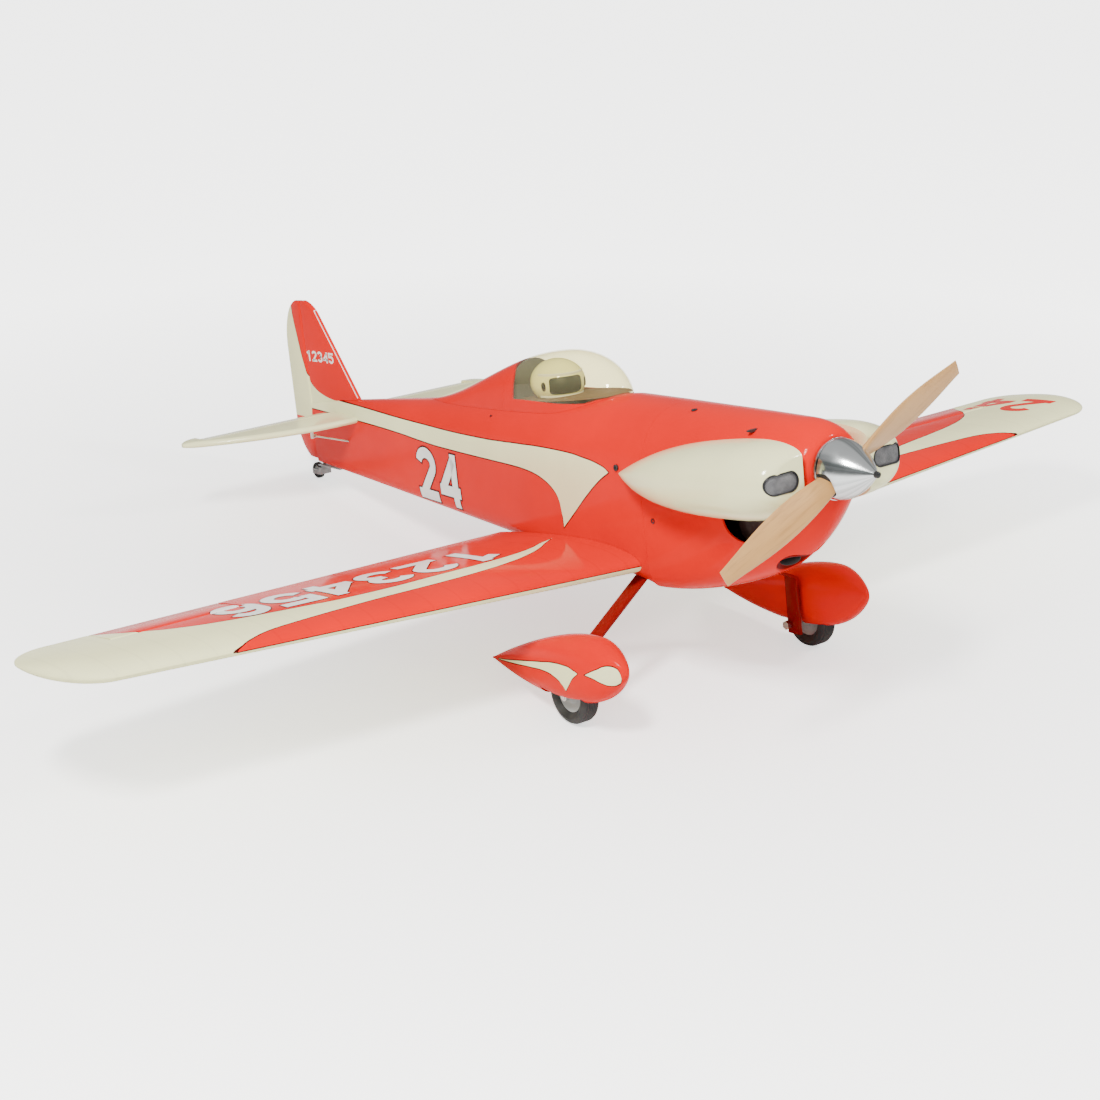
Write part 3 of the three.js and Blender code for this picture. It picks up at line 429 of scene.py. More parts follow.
SWOOSH_TOP = [(303, -285), (316, -281), (333, -278), (360, -279), (404, -286), (472, -299), (531, -311),
              (582, -320)]
SWOOSH_LOW = [(303, -285), (318, -296), (328, -307), (341, -320), (347, -311), (363, -302), (390, -298),
              (438, -302), (492, -309), (539, -315), (582, -321)]
DROP_TOP = [(234, -284), (236, -276), (241, -270.5), (250, -268), (268, -274), (291, -285)]
DROP_LOW = [(234, -284), (236, -291), (241, -296.5), (248, -299), (262, -295), (275, -289), (291, -285)]


def pant_paint():
    """Red, with a cream drop at the nose and a cream swoosh behind it on the outer side."""
    surface = Surface("pant_paint")
    x, y, z = surface.aircraft()
    outer = surface.less(246.0, surface.math("ABSOLUTE", x))
    marks, lines = [], []
    for top_points, low_points, start, end in ((SWOOSH_TOP, SWOOSH_LOW, 303.0, 577.0),
                                               (DROP_TOP, DROP_LOW, 234.5, 291.0)):
        top, low = surface.curve(y, top_points), surface.curve(y, low_points, corner=341)
        here = surface.both(outer, surface.less(start, y), surface.less(y, end))
        marks.append(surface.both(surface.less(z, top), surface.less(low, z), here))
        edges = surface.either(surface.near(z, top, 0.8), surface.near(z, low, 0.8))
        lines.append(surface.both(here, edges))
    color = surface.mix(surface.either(*marks), RED, CREAM)
    return surface.done(gloss(surface, surface.mix(surface.either(*lines), color, DARK_RED)))


GLASS_LOW = [(494, 64), (514, 62), (536, 56), (573, 54), (666, 52), (724, 49), (760, 47)]
GLASS_REAR = [(45, 723), (71, 728), (86, 733), (101, 747), (116, 757)]


def canopy_material():
    """Clear blown plastic, a little milky, above a painted rim."""
    surface = Surface("canopy_clear")
    _, y, z = surface.aircraft()
    clear_area = surface.both(surface.less(surface.curve(y, GLASS_LOW), z),
                              surface.less(y, surface.curve(z, GLASS_REAR)))
    haze = surface.ramp(surface.noise(9.0), 0.3, 0.7, 0.02, 0.045)
    clear = surface.node("BsdfTransparent", {"Color": (0.98, 0.96, 0.81, 1)}).outputs[0]
    milky = surface.principled(Base_Color=(0.90, 0.86, 0.52, 1), Roughness=0.3)
    body = surface.node("MixShader", {0: haze, 1: clear, 2: milky}).outputs[0]
    shine = surface.node("BsdfGlossy", {"Color": (1, 1, 1, 1), "Roughness": 0.03}).outputs[0]
    facing = surface.node("LayerWeight", {"Blend": 0.5}).outputs["Facing"]
    edge = surface.math("MULTIPLY_ADD", surface.math("POWER", facing, 4.0), 0.30, 0.025)
    plastic = surface.node("MixShader", {0: edge, 1: body, 2: shine}).outputs[0]
    painted = gloss(surface, RED)
    return surface.done(surface.node("MixShader", {0: clear_area, 1: painted, 2: plastic}).outputs[0])


def polished_material(name, color):
    """Polished metal: soft darker streaks from tip to base as painted reflections, fine turning rings and smudges.
    """
    surface = Surface(name)
    x, y, z = surface.aircraft()
    around = surface.math("ARCTAN2", z, x)
    # Painted reflection: darker streaks running from tip to base.
    reflection_streak_point = surface.node("CombineXYZ", {0: surface.math("COSINE", around),
                                               1: surface.math("SINE", around)}).outputs[0]
    painted_reflection_streaks = surface.ramp(surface.noise(1.7, 2.0, 0.6, reflection_streak_point), 0.42, 0.62)
    rings = surface.noise(1.0, 6.0, 0.7, surface.node("CombineXYZ", {0: surface.math("MULTIPLY", y, 9.0)})
                          .outputs[0])
    smudge = surface.ramp(surface.noise(45.0, 5.0), 0.35, 0.7)
    shade = surface.mix(surface.math("MULTIPLY", painted_reflection_streaks, 0.85), color, (0.11, 0.135, 0.135, 1))
    shade = surface.mix(surface.math("MULTIPLY", rings, 0.18), shade, (0.30, 0.33, 0.34, 1))
    roughness = surface.ramp(smudge, 0.0, 1.0, 0.13, 0.24)
    return surface.finish(shade, roughness, surface.bump(rings, 0.05, 0.0005), Metallic=1.0)


def metal_material(name, color, rough):
    """Bright or satin metal with fine drawn lines and a little grime."""
    surface = Surface(name)
    lines = surface.noise(300.0, 3.0, point=surface.stretched((1, 0.08, 1)))
    grime = surface.ramp(surface.noise(60.0), 0.45, 0.75)
    shade = surface.mix(surface.math("MULTIPLY", grime, 0.35), color, (0.10, 0.09, 0.08, 1))
    roughness = surface.ramp(lines, 0.3, 0.7, rough, rough + 0.14)
    return surface.finish(shade, roughness, surface.bump(lines, 0.12, 0.0004), Metallic=1.0)


def plastic_material(name, color, rough=0.45, grain=0.15):
    """Moulded plastic with a fine grain and dust in it."""
    surface = Surface(name)
    dust = surface.ramp(surface.noise(35.0, 5.0), 0.5, 0.8)
    shade = surface.mix(surface.math("MULTIPLY", dust, 0.12), color, (0.50, 0.47, 0.42, 1))
    roughness = surface.ramp(surface.noise(80.0), 0.3, 0.7, rough, rough + 0.15)
    return surface.finish(shade, roughness, surface.bump(surface.noise(900.0, 2.0), grain, 0.0004))


def propeller_material():
    """Pale laminated beech under satin varnish: long grain with darker pores."""
    surface = Surface("propeller_wood")
    turn = surface.node("Mapping", {"Vector": surface.vector("SUBTRACT", surface.point, HUB.tolist()),
                                    "Rotation": (0, PROP_ANGLE, 0)}).outputs[0]
    along = surface.vector("MULTIPLY", turn, (0.05, 1, 1))
    grain = surface.noise(220.0, 6.0, 0.65, along)
    figure = surface.noise(38.0, 3.0, 0.5, surface.vector("MULTIPLY", turn, (0.12, 1, 1)))
    light, dark = (0.60, 0.33, 0.115, 1), (0.36, 0.17, 0.055, 1)
    base = surface.mix(surface.ramp(figure, 0.35, 0.7), light, (0.50, 0.255, 0.08, 1))
    shade = surface.mix(surface.ramp(grain, 0.52, 0.72, 0.0, 0.6), base, dark)
    rough = surface.ramp(grain, 0.3, 0.7, 0.28, 0.42)
    return surface.finish(shade, rough, surface.bump(grain, 0.08, 0.0006), Coat_Weight=0.25,
                          Coat_Roughness=0.2)


def plywood_material():
    """Pale birch plywood with its grain along the aircraft."""
    surface = Surface("plywood")
    grain = surface.noise(90.0, 5.0, 0.6, surface.stretched((1, 0.1, 1)))
    shade = surface.mix(surface.ramp(grain, 0.4, 0.7), (0.50, 0.33, 0.17, 1), (0.32, 0.19, 0.09, 1))
    return surface.finish(shade, 0.7, surface.bump(grain, 0.3, 0.0005))


def rubber_material():
    """Black rubber, greyer where it is worn and dusty."""
    surface = Surface("tyre_rubber")
    wear = surface.ramp(surface.noise(40.0, 5.0), 0.45, 0.75)
    shade = surface.mix(wear, (0.013, 0.013, 0.014, 1), (0.045, 0.042, 0.040, 1))
    rough = surface.ramp(wear, 0, 1, 0.55, 0.8)
    return surface.finish(shade, rough, surface.bump(surface.noise(700.0, 2.0), 0.25, 0.0005))


def grille_material():
    """Woven wire: two crossing sets of wires, with the holes between them painted dark as the shade behind them.
    """
    surface = Surface("grille_wire")
    x, _, z = surface.aircraft()
    wires = []
    for sign in (1, -1):
        across = surface.math("ADD", x, surface.math("MULTIPLY", z, float(sign)))
        wave = surface.math("SINE", surface.math("MULTIPLY", across, 3.0))
        wires.append(surface.ramp(wave, -0.2, 0.7))
    wire = surface.math("MAXIMUM", *wires)
    dusty = surface.mix(surface.ramp(surface.noise(60.0), 0.4, 0.7), (0.20, 0.20, 0.21, 1),
                        (0.33, 0.33, 0.33, 1))
    # The holes between the wires are painted shade.
    shade = surface.mix(wire, (0.02, 0.02, 0.022, 1), dusty)
    return surface.finish(shade, 0.55, surface.bump(wire, 0.5, 0.0008), Metallic=0.3)


def cockpit_material():
    """Dark brown cloth-like lining with a fine weave."""
    surface = Surface("cockpit_lining")
    shade = surface.mix(surface.ramp(surface.noise(20.0), 0.3, 0.7), (0.16, 0.09, 0.06, 1),
                        (0.24, 0.15, 0.10, 1))
    return surface.finish(shade, 0.85, surface.bump(surface.noise(500.0, 2.0), 0.3, 0.0005))


hull_red = hull_paint()
tail_scheme = tail_paint()
wing_scheme = wing_paint()
pant_scheme = pant_paint()
cream = gloss_material("painted_cream", CREAM, 0.45)
# Red with painted shade, for the gear legs and the chin duct.
red_in_painted_shade = gloss_material("red_painted_shade", PAINTED_SHADE_RED)
plain_red = gloss_material("painted_red", RED)
number_white = gloss_material("number_white", WHITE)
number_edge = gloss_material("number_edge", DARK_RED)
canopy_clear = canopy_material()
spinner_metal = polished_material("polished_aluminium", (0.86, 0.89, 0.90, 1))
wood = propeller_material()
black = plastic_material("black_plastic", BLACK, 0.35)
# Flat black for painted shadow inside openings.
shadow_black = plastic_material("shadow_black", (0.006, 0.004, 0.004, 1), 0.9, 0.05)
visor_black = plastic_material("visor_tint", (0.016, 0.022, 0.020, 1), 0.5, 0.02)
hub_grey = plastic_material("wheel_grey", (0.34, 0.35, 0.35, 1), 0.4)
rubber = rubber_material()
wire = grille_material()
lining = cockpit_material()
# A dark brown that stands for the shade inside the side outlets.
outlet_painted_shade = plastic_material("outlet_painted_shade", (0.035, 0.011, 0.009, 1), 0.8, 0.1)
dark_grey = plastic_material("dark_grey_plastic", (0.10, 0.10, 0.105, 1), 0.6)

CAD_FINISH = {
    "painted_red": plain_red,
    "painted_cream": cream,
    "canopy_clear": canopy_clear,
    "polished_aluminium": spinner_metal,
    "plain_aluminium": metal_material("plain_aluminium", (0.42, 0.43, 0.44, 1), 0.28),
    "bright_steel": metal_material("bright_steel", (0.66, 0.67, 0.68, 1), 0.14),
    "propeller_wood": wood,
    "plywood": plywood_material(),
    "tyre_rubber": rubber,
    "wheel_grey": hub_grey,
    "black_plastic": black,
    "dark_metal": metal_material("dark_metal", (0.12, 0.11, 0.11, 1), 0.4),
    "dark_grey_plastic": dark_grey,
    "white_plastic": plastic_material("white_plastic", (0.76, 0.76, 0.73, 1), 0.4),
}


def finish_cad_nodes():
    """Every CAD node that stays in view gets the procedural material of its slot."""
    for part in frame["record"]["subparts"]:
        mesh = frame["nodes"][part["node"]].data
        mesh.materials.clear()
        mesh.materials.append(CAD_FINISH[part["material_slot"]])
    for node in ("cockpit_tub", "instrument_panel"):
        mesh = frame["nodes"][node].data
        mesh.materials.clear()
        mesh.materials.append(lining)


finish_cad_nodes()

# ---- Hull: one outer shape for the cowl and the fuselage ----


def hull_half_width(y):
    if y < TAPER_START:
        swell = arc_rise((y - HULL_START) / NOSE_WIDENING)
        return NOSE_HALF_WIDTH + (HULL_HALF_WIDTH - NOSE_HALF_WIDTH) * swell
    t = clamp01((y - TAPER_START) / (HULL_END - TAPER_START))
    return HULL_HALF_WIDTH - (HULL_HALF_WIDTH - STERN_HALF_WIDTH) * t**1.15


def hull_top(y):
    if y < DECK_END:
        return NOSE_TOP + (DECK - NOSE_TOP) * arc_rise((y - HULL_START) / 60)
    return DECK - DECK_SLOPE * (y - DECK_END)


def hull_bottom(y):
    if y < COWL_END:
        rise = arc_rise((y - HULL_START) / (COWL_END - HULL_START)) ** 1.15
        return NOSE_DEPTH + (BELLY - NOSE_DEPTH) * rise
    return BELLY + BELLY_RISE * ((y - COWL_END) / (HULL_END - COWL_END)) ** 0.6


def superellipse(x, z, half_width, up, down, up_power, down_power, count):
    """Evenly spaced (x, z) points round an oval with its own power above and below."""
    dense = []
    for angle in spaced(0, 2 * math.pi, 721)[:-1]:
        c, s = math.cos(angle), math.sin(angle)
        power, height = (up_power, up) if s > 0 else (down_power, down)
        dense.append((x + half_width * math.copysign(abs(c) ** (2 / power), c),
                      z + height * math.copysign(abs(s) ** (2 / power), s)))
    loop = np.array(dense + dense[:1])
    length = np.concatenate([[0], np.cumsum(np.linalg.norm(np.diff(loop, axis=0), axis=1))])
    places = spaced(0, length[-1], count + 1)[:-1]
    return np.column_stack([np.interp(places, length, loop[:, k]) for k in (0, 1)])


def oval(x, z, half_width, half_height, power, count):
    """An oval that is the same above and below."""
    return superellipse(x, z, half_width, half_height, half_height, power, power, count)


def oval_ring(y, *shape):
    """The oval that superellipse() draws, standing across the aircraft at y."""
    return np.insert(superellipse(*shape), 1, float(y), axis=1)


def hull_ring(y, inset, count=144):
    """A section of the hull: rounded above the waist, and squarer below it further aft."""
    top, bottom = hull_top(y) - inset, hull_bottom(y) + inset
    waist = bottom + 0.55 * (top - bottom)
    along = clamp01((y - HULL_START) / (COWL_END - HULL_START))
    return oval_ring(y, 0, waist, hull_half_width(y) - inset, top - waist, waist - bottom,
                     2 + 0.4 * along, 1.6 + 5.4 * along**2.2, count)


def hull(name, start, end, inset, steps, spread=1.0, count=144):
    places = [start + (end - start) * (i / steps) ** spread for i in range(steps + 1)]
    return loft(name, [hull_ring(y, inset, count) for y in places])


def hull_keep_out():
    """The hull with a small gap round it, to cut from what sits against it."""
    return hull("hull_keep_out", HULL_START, HULL_END, -GAP, 150, 1.3)


def make_cowl():
    cowl = hull("cowl_skin", HULL_START, COWL_END - GAP, 0, 70, 1.8)
    inner = hull("cowl_hollow", HULL_START + 5, COWL_END + 10, 3, 40, 1.5)
    nose = rod("nose_hole", (0, HULL_START - 5, 0), (0, HULL_START + 12, 0), 36, 64)
    outlets = [half_round_outlet(f"outlet_{word}", side) for word, side in SIDES]
    carve(cowl, inner, nose, chin_scoop_cut(), *outlets)
    dress(cowl, hull_red, ["cowl"])


def half_round_outlet(name, side):
    """The air outlet under each cheek: a circle that the cheek covers down to its lower edge."""
    return rod(name, (side * 60, OUTLET_Y, OUTLET_Z), (side * 140, OUTLET_Y, OUTLET_Z), OUTLET_RADIUS, 64)


def make_outlet_baffles():
    """Plates behind the side outlets, dark brown as painted shade inside the outlets."""
    for word, side in SIDES:
        outline = oval(OUTLET_Y, OUTLET_Z - 4, OUTLET_RADIUS + 3, OUTLET_RADIUS + 3, 2.4, 40)
        plate = slab(f"outlet_baffle_{word}", outline, (side * 60, side * 62), 0)
        dress(plate, outlet_painted_shade)


def chin_scoop_cut():
    """An oval opening in the chin."""
    return slab("chin_scoop_cut", oval(0, SCOOP_Y, 36, 27, 2.3, 40), (-195, -112), 2)


def make_chin_pocket():
    """The red duct behind the chin opening, darkened as painted shade, with a black ellipsoid at its back as the
    painted shadow in its slot.
    """
    rings = []
    for z, scale, shift in ((-170, 0.98, 0), (-140, 0.96, 3), (-128, 0.82, 6), (-122, 0.5, 9)):
        outline = oval(0, SCOOP_Y + shift, 38 * scale, 29 * scale, 2.3, 40)
        rings.append(np.insert(outline, 2, float(z), axis=1))
    duct = loft("chin_duct", rings)
    carve(duct, hull("outside_low", HULL_START, COWL_END, 2.6, 60, 1.5), operation="INTERSECT")
    middle = np.array([0, SCOOP_Y, 0])
    room = [middle + (ring - middle) * (0.93, 0.93, 1) - (0, 0, 2.5) for ring in rings]
    carve(duct, loft("duct_room", room))
    # Painted shade: the duct is the same red, darkened.
    dress(duct, red_in_painted_shade)
    # A black ellipsoid at the back of the duct: painted shadow in the slot.
    slot = ellipsoid("chin_slot_painted_shadow", (-8, SCOOP_Y + 10, -145), np.array([19, 10, 8.5]), 20, 40)
    dress(slot, shadow_black)


def make_fuselage():
    shell = hull("fuselage_skin", COWL_END, HULL_END, 0, 120)
    inner = hull("fuselage_hollow", COWL_END - 5, HULL_END - 24, 4, 60)
    opening = box("cockpit_opening", (-COCKPIT_HALF, COCKPIT_FRONT, 20), (COCKPIT_HALF, COCKPIT_REAR, 90))
    carve(shell, inner, opening)
    dress(shell, hull_red, ["fuselage_shell"])


# ---- Cheeks ----

CHEEK_FRONT, CHEEK_TAIL, CHEEK_INSIDE = 16, 410, 62
INLET_X, INLET_Z, INLET_HALF_WIDTH, INLET_HALF_HEIGHT = 101, -1, 28, 13.6


def cheek_size(t):
    """Reach, half height and middle height of a cheek at a share t of its length."""
    swell = (0.6 + 0.4 * arc_rise(t / 0.22)) * math.cos(math.pi / 2 * t**1.9)
    return max(4, 88 * swell + 28 * t), max(1, 57 * swell), -5 - 27 * t


def cheek_body(name, side):
    rings = []
    for t in spaced(0, 1, 90) ** 1.7:
        reach, half_height, z = cheek_size(t)
        y = CHEEK_FRONT + t * (CHEEK_TAIL - CHEEK_FRONT)
        rings.append(oval_ring(y, side * CHEEK_INSIDE, z, reach, half_height, half_height, 2.4, 2.4, 96))
    return loft(name, rings)


def cheek_front(x, z):
    """Where the front of the left cheek's skin is, looking aft at (x, z)."""
    low, high = CHEEK_FRONT, 160.0
    for _ in range(30):
        y = (low + high) / 2
        reach, half_height, middle = cheek_size((y - CHEEK_FRONT) / (CHEEK_TAIL - CHEEK_FRONT))
        outside = (abs(x - CHEEK_INSIDE) / reach) ** 2.4 + (abs(z - middle) / half_height) ** 2.4 > 1
        low, high = (y, high) if outside else (low, y)
    return high


def stadium(scale_out, count=56):
    """Points round the inlet's outline, grown outwards by a distance."""
    radius = INLET_HALF_HEIGHT + scale_out
    run = INLET_HALF_WIDTH - INLET_HALF_HEIGHT
    outline = []
    for i in range(count):
        angle = 2 * math.pi * (i + 0.5) / count
        shift = run if math.cos(angle) > 0 else -run
        outline.append((INLET_X + shift + radius * math.cos(angle), INLET_Z + radius * math.sin(angle)))
    return outline


def inlet_cut(name, side):
    return slab(name, [(side * x, z) for x, z in stadium(0)], (0, 200), 1)


def make_cheek(name, side):
    cheek = cheek_body(name + "_skin", side)
    inner, outer = sorted((side * CHEEK_INSIDE, -side * 300))
    carve(cheek, box("cheek_side", (inner, -50, -200), (outer, 600, 200)))
    carve(cheek, hull_keep_out(), inlet_cut("inlet_cut", side))
    dress(cheek, cream, [name])


def draped_patch(loops, side, depths):
    """Points and faces of nested outlines laid on the cheek's front skin, at depths behind it."""
    points = [(side * x, cheek_front(x, z) + d, z) for loop, d in zip(loops, depths) for x, z in loop]
    return points, walls(len(loops), len(loops[0]))


def make_grille(name, side):
    """Wire cloth behind the inlet's edge, 1.2 mm thick."""
    outer = stadium(-0.4)
    loops = [[(INLET_X + (x - INLET_X) * k, INLET_Z + (z - INLET_Z) * k) for x, z in outer]
             for k in spaced(1, 0.04, 12)]
    points, faces = draped_patch(loops, side, [2.2] * len(loops))
    faces.append(tuple(range(len(points) - len(outer), len(points))))
    patch = mesh_object(name + "_wire", points, faces)
    patch.modifiers.new("thick", "SOLIDIFY").thickness = 0.0012
    bake(patch)
    dress(patch, wire, [name])


def make_inlet_rim(name, side):
    """The black edging round the inlet."""
    steps = [(1.7, -0.1), (1.4, -0.9), (-0.2, -0.9), (-0.5, 3.0)]
    loops = [stadium(grow) for grow, _ in steps]
    points, faces = draped_patch(loops, side, [depth for _, depth in steps])
    dress(mesh_object(name, points, faces), black)


# ---- Canopy, fairing behind it, and cockpit ----


def ridge_height(y):
    if y < CANOPY_PEAK:
        return RIDGE_HEIGHT * arc_rise((y - CANOPY_FRONT) / (CANOPY_PEAK - CANOPY_FRONT)) ** 1.15
    t = clamp01((y - CANOPY_PEAK) / (RIDGE_END - CANOPY_PEAK))
    return RIDGE_HEIGHT * 0.5 * (1 + math.cos(math.pi * t))


def ridge_half_width(y):
    if y < CANOPY_PEAK:
        return 4 + (RIDGE_HALF_WIDTH - 4) * arc_rise((y - CANOPY_FRONT) / 130)
    return RIDGE_HALF_WIDTH - 42 * clamp01((y - CANOPY_PEAK) / (RIDGE_END - CANOPY_PEAK)) ** 1.2


def ridge(name, start, end, steps, inset, spread=1.0):
    places = [start + (end - start) * (i / steps) ** spread for i in range(steps + 1)]
    return loft(name, [oval_ring(y, 0, hull_top(y) - 30, ridge_half_width(y) - inset,
                                 30 + ridge_height(y) - inset, 12, 2.3, 2, 96) for y in places])


def make_canopy():
    canopy = ridge("canopy_skin", CANOPY_FRONT, CANOPY_REAR, 60, 0, 1.5)
    carve(canopy, ridge("canopy_room", CANOPY_FRONT + 2, CANOPY_REAR + 5, 50, 1.6, 1.4), hull_keep_out())
    dress(canopy, canopy_clear, ["canopy"])


def make_turtledeck():
    deck = ridge("turtledeck_skin", CANOPY_REAR + GAP, RIDGE_END, 60, 0)
    carve(deck, hull_keep_out())
    dress(deck, plain_red, ["turtledeck"])


def make_rear_bulkhead():
    """The dark panel that closes the cockpit behind the pilot."""
    rings = [oval_ring(y, 0, hull_top(y) - 28, ridge_half_width(y) - 3, 26 + ridge_height(y), 10, 2.3, 2, 64)
             for y in (738, 741)]
    dress(round_edges(loft("rear_bulkhead", rings), 1), dark_grey)


def make_sill():
    """The brown-lined sill and floor round the pilot, under the clear canopy."""
    left = [(ridge_half_width(y) - 4, y, hull_top(y) + 0.4) for y in spaced(506, 736, 24)]
    outline = left + [(-x, y, z) for x, y, z in left[::-1]]
    points = outline + [(x, y, z + 1.2) for x, y, z in outline]
    count = len(outline)
    faces = walls(2, count)
    for shift in (0, count):
        for i in range(len(left) - 1):
            faces.append((shift + i, shift + i + 1, shift + count - 2 - i, shift + count - 1 - i))
    sill = mesh_object("cockpit_sill", points, faces)
    carve(sill, rod("neck_room", (0, BUST_Y, 20), (0, BUST_Y, 60), 26, 40))
    dress(sill, lining)


HEAD_Y, HEAD_Z, BUST_Y = 670, 73, 676
HEAD_SIZE = np.array([43, 49, 38])
HEAD_TURN = math.radians(-17)


def ellipsoid(name, centre, size, rows=40, count=64):
    profile = [(math.sin(a), -math.cos(a)) for a in spaced(0, math.pi, rows)]
    ball = []
    for r, h in profile:
        ring = [(r * math.cos(t), r * math.sin(t), h) for t in spaced(0, 2 * math.pi, count + 1)[:-1]]
        ball.append(np.asarray(ring) * size + centre)
    return loft(name, ball)


def face_window(name, grow):
    """The opening for the visor, with rounded ends that reach round the sides."""
    outline = oval(0, HEAD_Z - 1, 27 + grow, 14.5 + grow, 6, 48)
    c, s = math.cos(HEAD_TURN), math.sin(HEAD_TURN)
    return loft(name, [[(across * c + ahead * s, HEAD_Y + across * s - ahead * c, z)
                        for across, z in outline]
                       for ahead in (60, 14 - grow)])


def make_helmet():
    centre = (0, HEAD_Y, HEAD_Z)
    helmet = ellipsoid("helmet_shell", centre, HEAD_SIZE)
    hollow = ellipsoid("helmet_room", centre, HEAD_SIZE - 3)
    carve(helmet, hollow, face_window("window", 0.0), box("collar", (-60, 600, 0), (60, 750, 44)))
    round_edges(helmet, 1.2, 60)
    dress(helmet, cream, ["pilot_helmet"])
    visor = ellipsoid("visor_shell", centre, HEAD_SIZE - 1.2)
    carve(visor, ellipsoid("visor_room", centre, HEAD_SIZE - 2.6))
    carve(visor, face_window("visor_area", -0.6), operation="INTERSECT")
    dress(visor, visor_black, ["helmet_visor"])
    make_helmet_ports()
    make_helmet_band("helmet_band_low", HEAD_Z - 18.5)
    make_helmet_band("helmet_band_high", HEAD_Z + 17)


def make_helmet_ports():
    """A small dark port in the helmet on each side of the visor: a black disc that is the painted shade inside the
    opening.
    """
    for word, side in SIDES:
        angle = math.radians(-90 + 54 * side) + HEAD_TURN
        out = np.array([math.cos(angle), math.sin(angle), 0])
        across = np.array([-out[1], out[0], 0])
        centre = np.array([0, HEAD_Y, HEAD_Z - 1]) + out * HEAD_SIZE * 0.985
        outline = oval(0, 0, 4.2, 7.2, 2.4, 40)
        rings = [[centre + across * a + (0, 0, b) + out * d for a, b in outline] for d in (-1.2, 0.9)]
        # The port is a black disc of painted shade.
        dress(loft(f"helmet_port_{word}", rings), shadow_black)


def make_helmet_band(name, z):
    """A raised edge across the helmet above or below the visor."""
    level = math.sqrt(1 - ((z - HEAD_Z) / HEAD_SIZE[2]) ** 2)
    section = [(1.4 * math.cos(turn), 2.4 * math.sin(turn)) for turn in spaced(0, 2 * math.pi, 9)[:-1]]
    rings = []
    for angle in spaced(HEAD_TURN - math.radians(160), HEAD_TURN - math.radians(20), 40):
        out = np.array([math.cos(angle), math.sin(angle), 0])
        middle = out * HEAD_SIZE * level + (0, HEAD_Y, z)
        rings.append([middle + out * outward + (0, 0, rise) for outward, rise in section])
    dress(loft(name, rings), number_white)


def make_bust():
    """A plain torso in a pale flying suit, from (height, half width, half depth) sections."""
    sections = ((-37, 30, 20), (-26, 35, 21.5), (-10, 38, 22), (8, 39.5, 22), (20, 38, 21.5),
                (28, 33, 20), (35, 27, 18.5), (40, 22, 17), (44, 16.5, 16), (49.6, 14, 14))
    rings = [np.insert(oval(0, BUST_Y, half_width, depth, 2.3, 64), 2, float(z), axis=1)
             for z, half_width, depth in sections]
    dress(loft("pilot_torso", rings), CAD_FINISH["white_plastic"], ["pilot_bust"])


# ---- Wing ----

WING_TIP_START = 936
AILERON_INNER, AILERON_OUTER, AILERON_CHORD = 653, 877, 74
WING_TIP_Y, SERVO_X = 562, 765


def foil_half(t):
    """Half thickness of a symmetric wing section of full thickness 1, at a share t of its chord."""
    return 5 * (0.2969 * math.sqrt(t) - 0.126 * t - 0.3516 * t**2 + 0.2843 * t**3 - 0.1036 * t**4)


def wing_edges(x):
    """Leading edge, trailing edge, height and relative thickness of the wing at x."""
    t = min(1, (x - WING_ROOT) / (WING_TIP_START - WING_ROOT))
    u = clamp01((x - WING_TIP_START) / (HALF_SPAN - WING_TIP_START))
    close = math.sqrt(max(0.0001, 1 - u * u))
    front = WING_TIP_Y + (WING_LEADING + WING_SWEEP * t - WING_TIP_Y) * close
    rear = WING_TIP_Y + (WING_TRAILING - WING_TAPER * t - WING_TIP_Y) * close
    return front, rear, WING_ROOT_Z + WING_RISE * (x - WING_ROOT), 0.125 - 0.013 * t


def foil_ring(x, half=26):
    front, rear, z, thickness = wing_edges(abs(x))
    chord = rear - front
    upper, lower = [], []
    for i in range(half + 1):
        t = 0.5 * (1 - math.cos(math.pi * i / half))
        height = foil_half(t) * thickness * chord + 0.9 * t
        upper.append((x, front + t * chord, z + height))
        lower.append((x, front + t * chord, z - height))
    return upper + lower[:0:-1]


def hinge_line(x):
    """The aileron's hinge: y and z, then the trailing edge and the radius of the rounded nose."""
    front, rear, z, thickness = wing_edges(x)
    y = rear - AILERON_CHORD
    return y, z, rear, foil_half((y - front) / (rear - front)) * thickness * (rear - front) + 0.7


def make_wing(name, side):
    reach = HALF_SPAN - WING_TIP_START
    places = list(spaced(93, WING_TIP_START, 40))
    places += [WING_TIP_START + math.sin(a) * reach for a in spaced(0.06, math.pi / 2, 26)]
    wing = loft(name + "_skin", [foil_ring(side * x) for x in places])
    bay = []
    for x in (AILERON_INNER, AILERON_OUTER):
        y, z, _, radius = hinge_line(x)
        start = y - radius - 1.4
        bay.append([(side * x, start, z - 40), (side * x, start, z + 40), (side * x, start + 160, z + 40),
                    (side * x, start + 160, z - 40)])
    middle, top = side * SERVO_X, wing_edges(SERVO_X)[2]
    servo = box("servo_bay", (middle - 22, 487, -190), (middle + 22, 513, top))
    slot = box("rod_slot", (middle - 8, 510, -190), (middle + 8, 572, top - 3))
    carve(wing, loft("aileron_bay", bay), servo, slot, hull_keep_out())
    dress(wing, wing_scheme, [name])


def surface_ring(place_along, y, z, rear, radius, upright, side=1):
    """A hinged surface's section: a round nose about the hinge line, and flat sides aft."""
    outline = []
    for i in range(25):
        angle = math.pi / 2 + math.pi * i / 24
        outline.append((y + radius * math.cos(angle), radius * math.sin(angle)))
    outline += [(rear - 1, -0.9), (rear, -0.5), (rear, 0.5), (rear - 1, 0.9)]
    if upright:
        return [(offset, along, place_along) for along, offset in outline]
    return [(side * place_along, along, z + offset) for along, offset in outline]


def make_aileron(name, side):
    rings = []
    for x in spaced(AILERON_INNER + 3, AILERON_OUTER - 3, 12):
        y, z, rear, radius = hinge_line(x)
        rings.append(surface_ring(x, y, z, rear, radius, False, side))
    dress(loft(name + "_skin", rings), wing_scheme, [name], f"{name}_group")


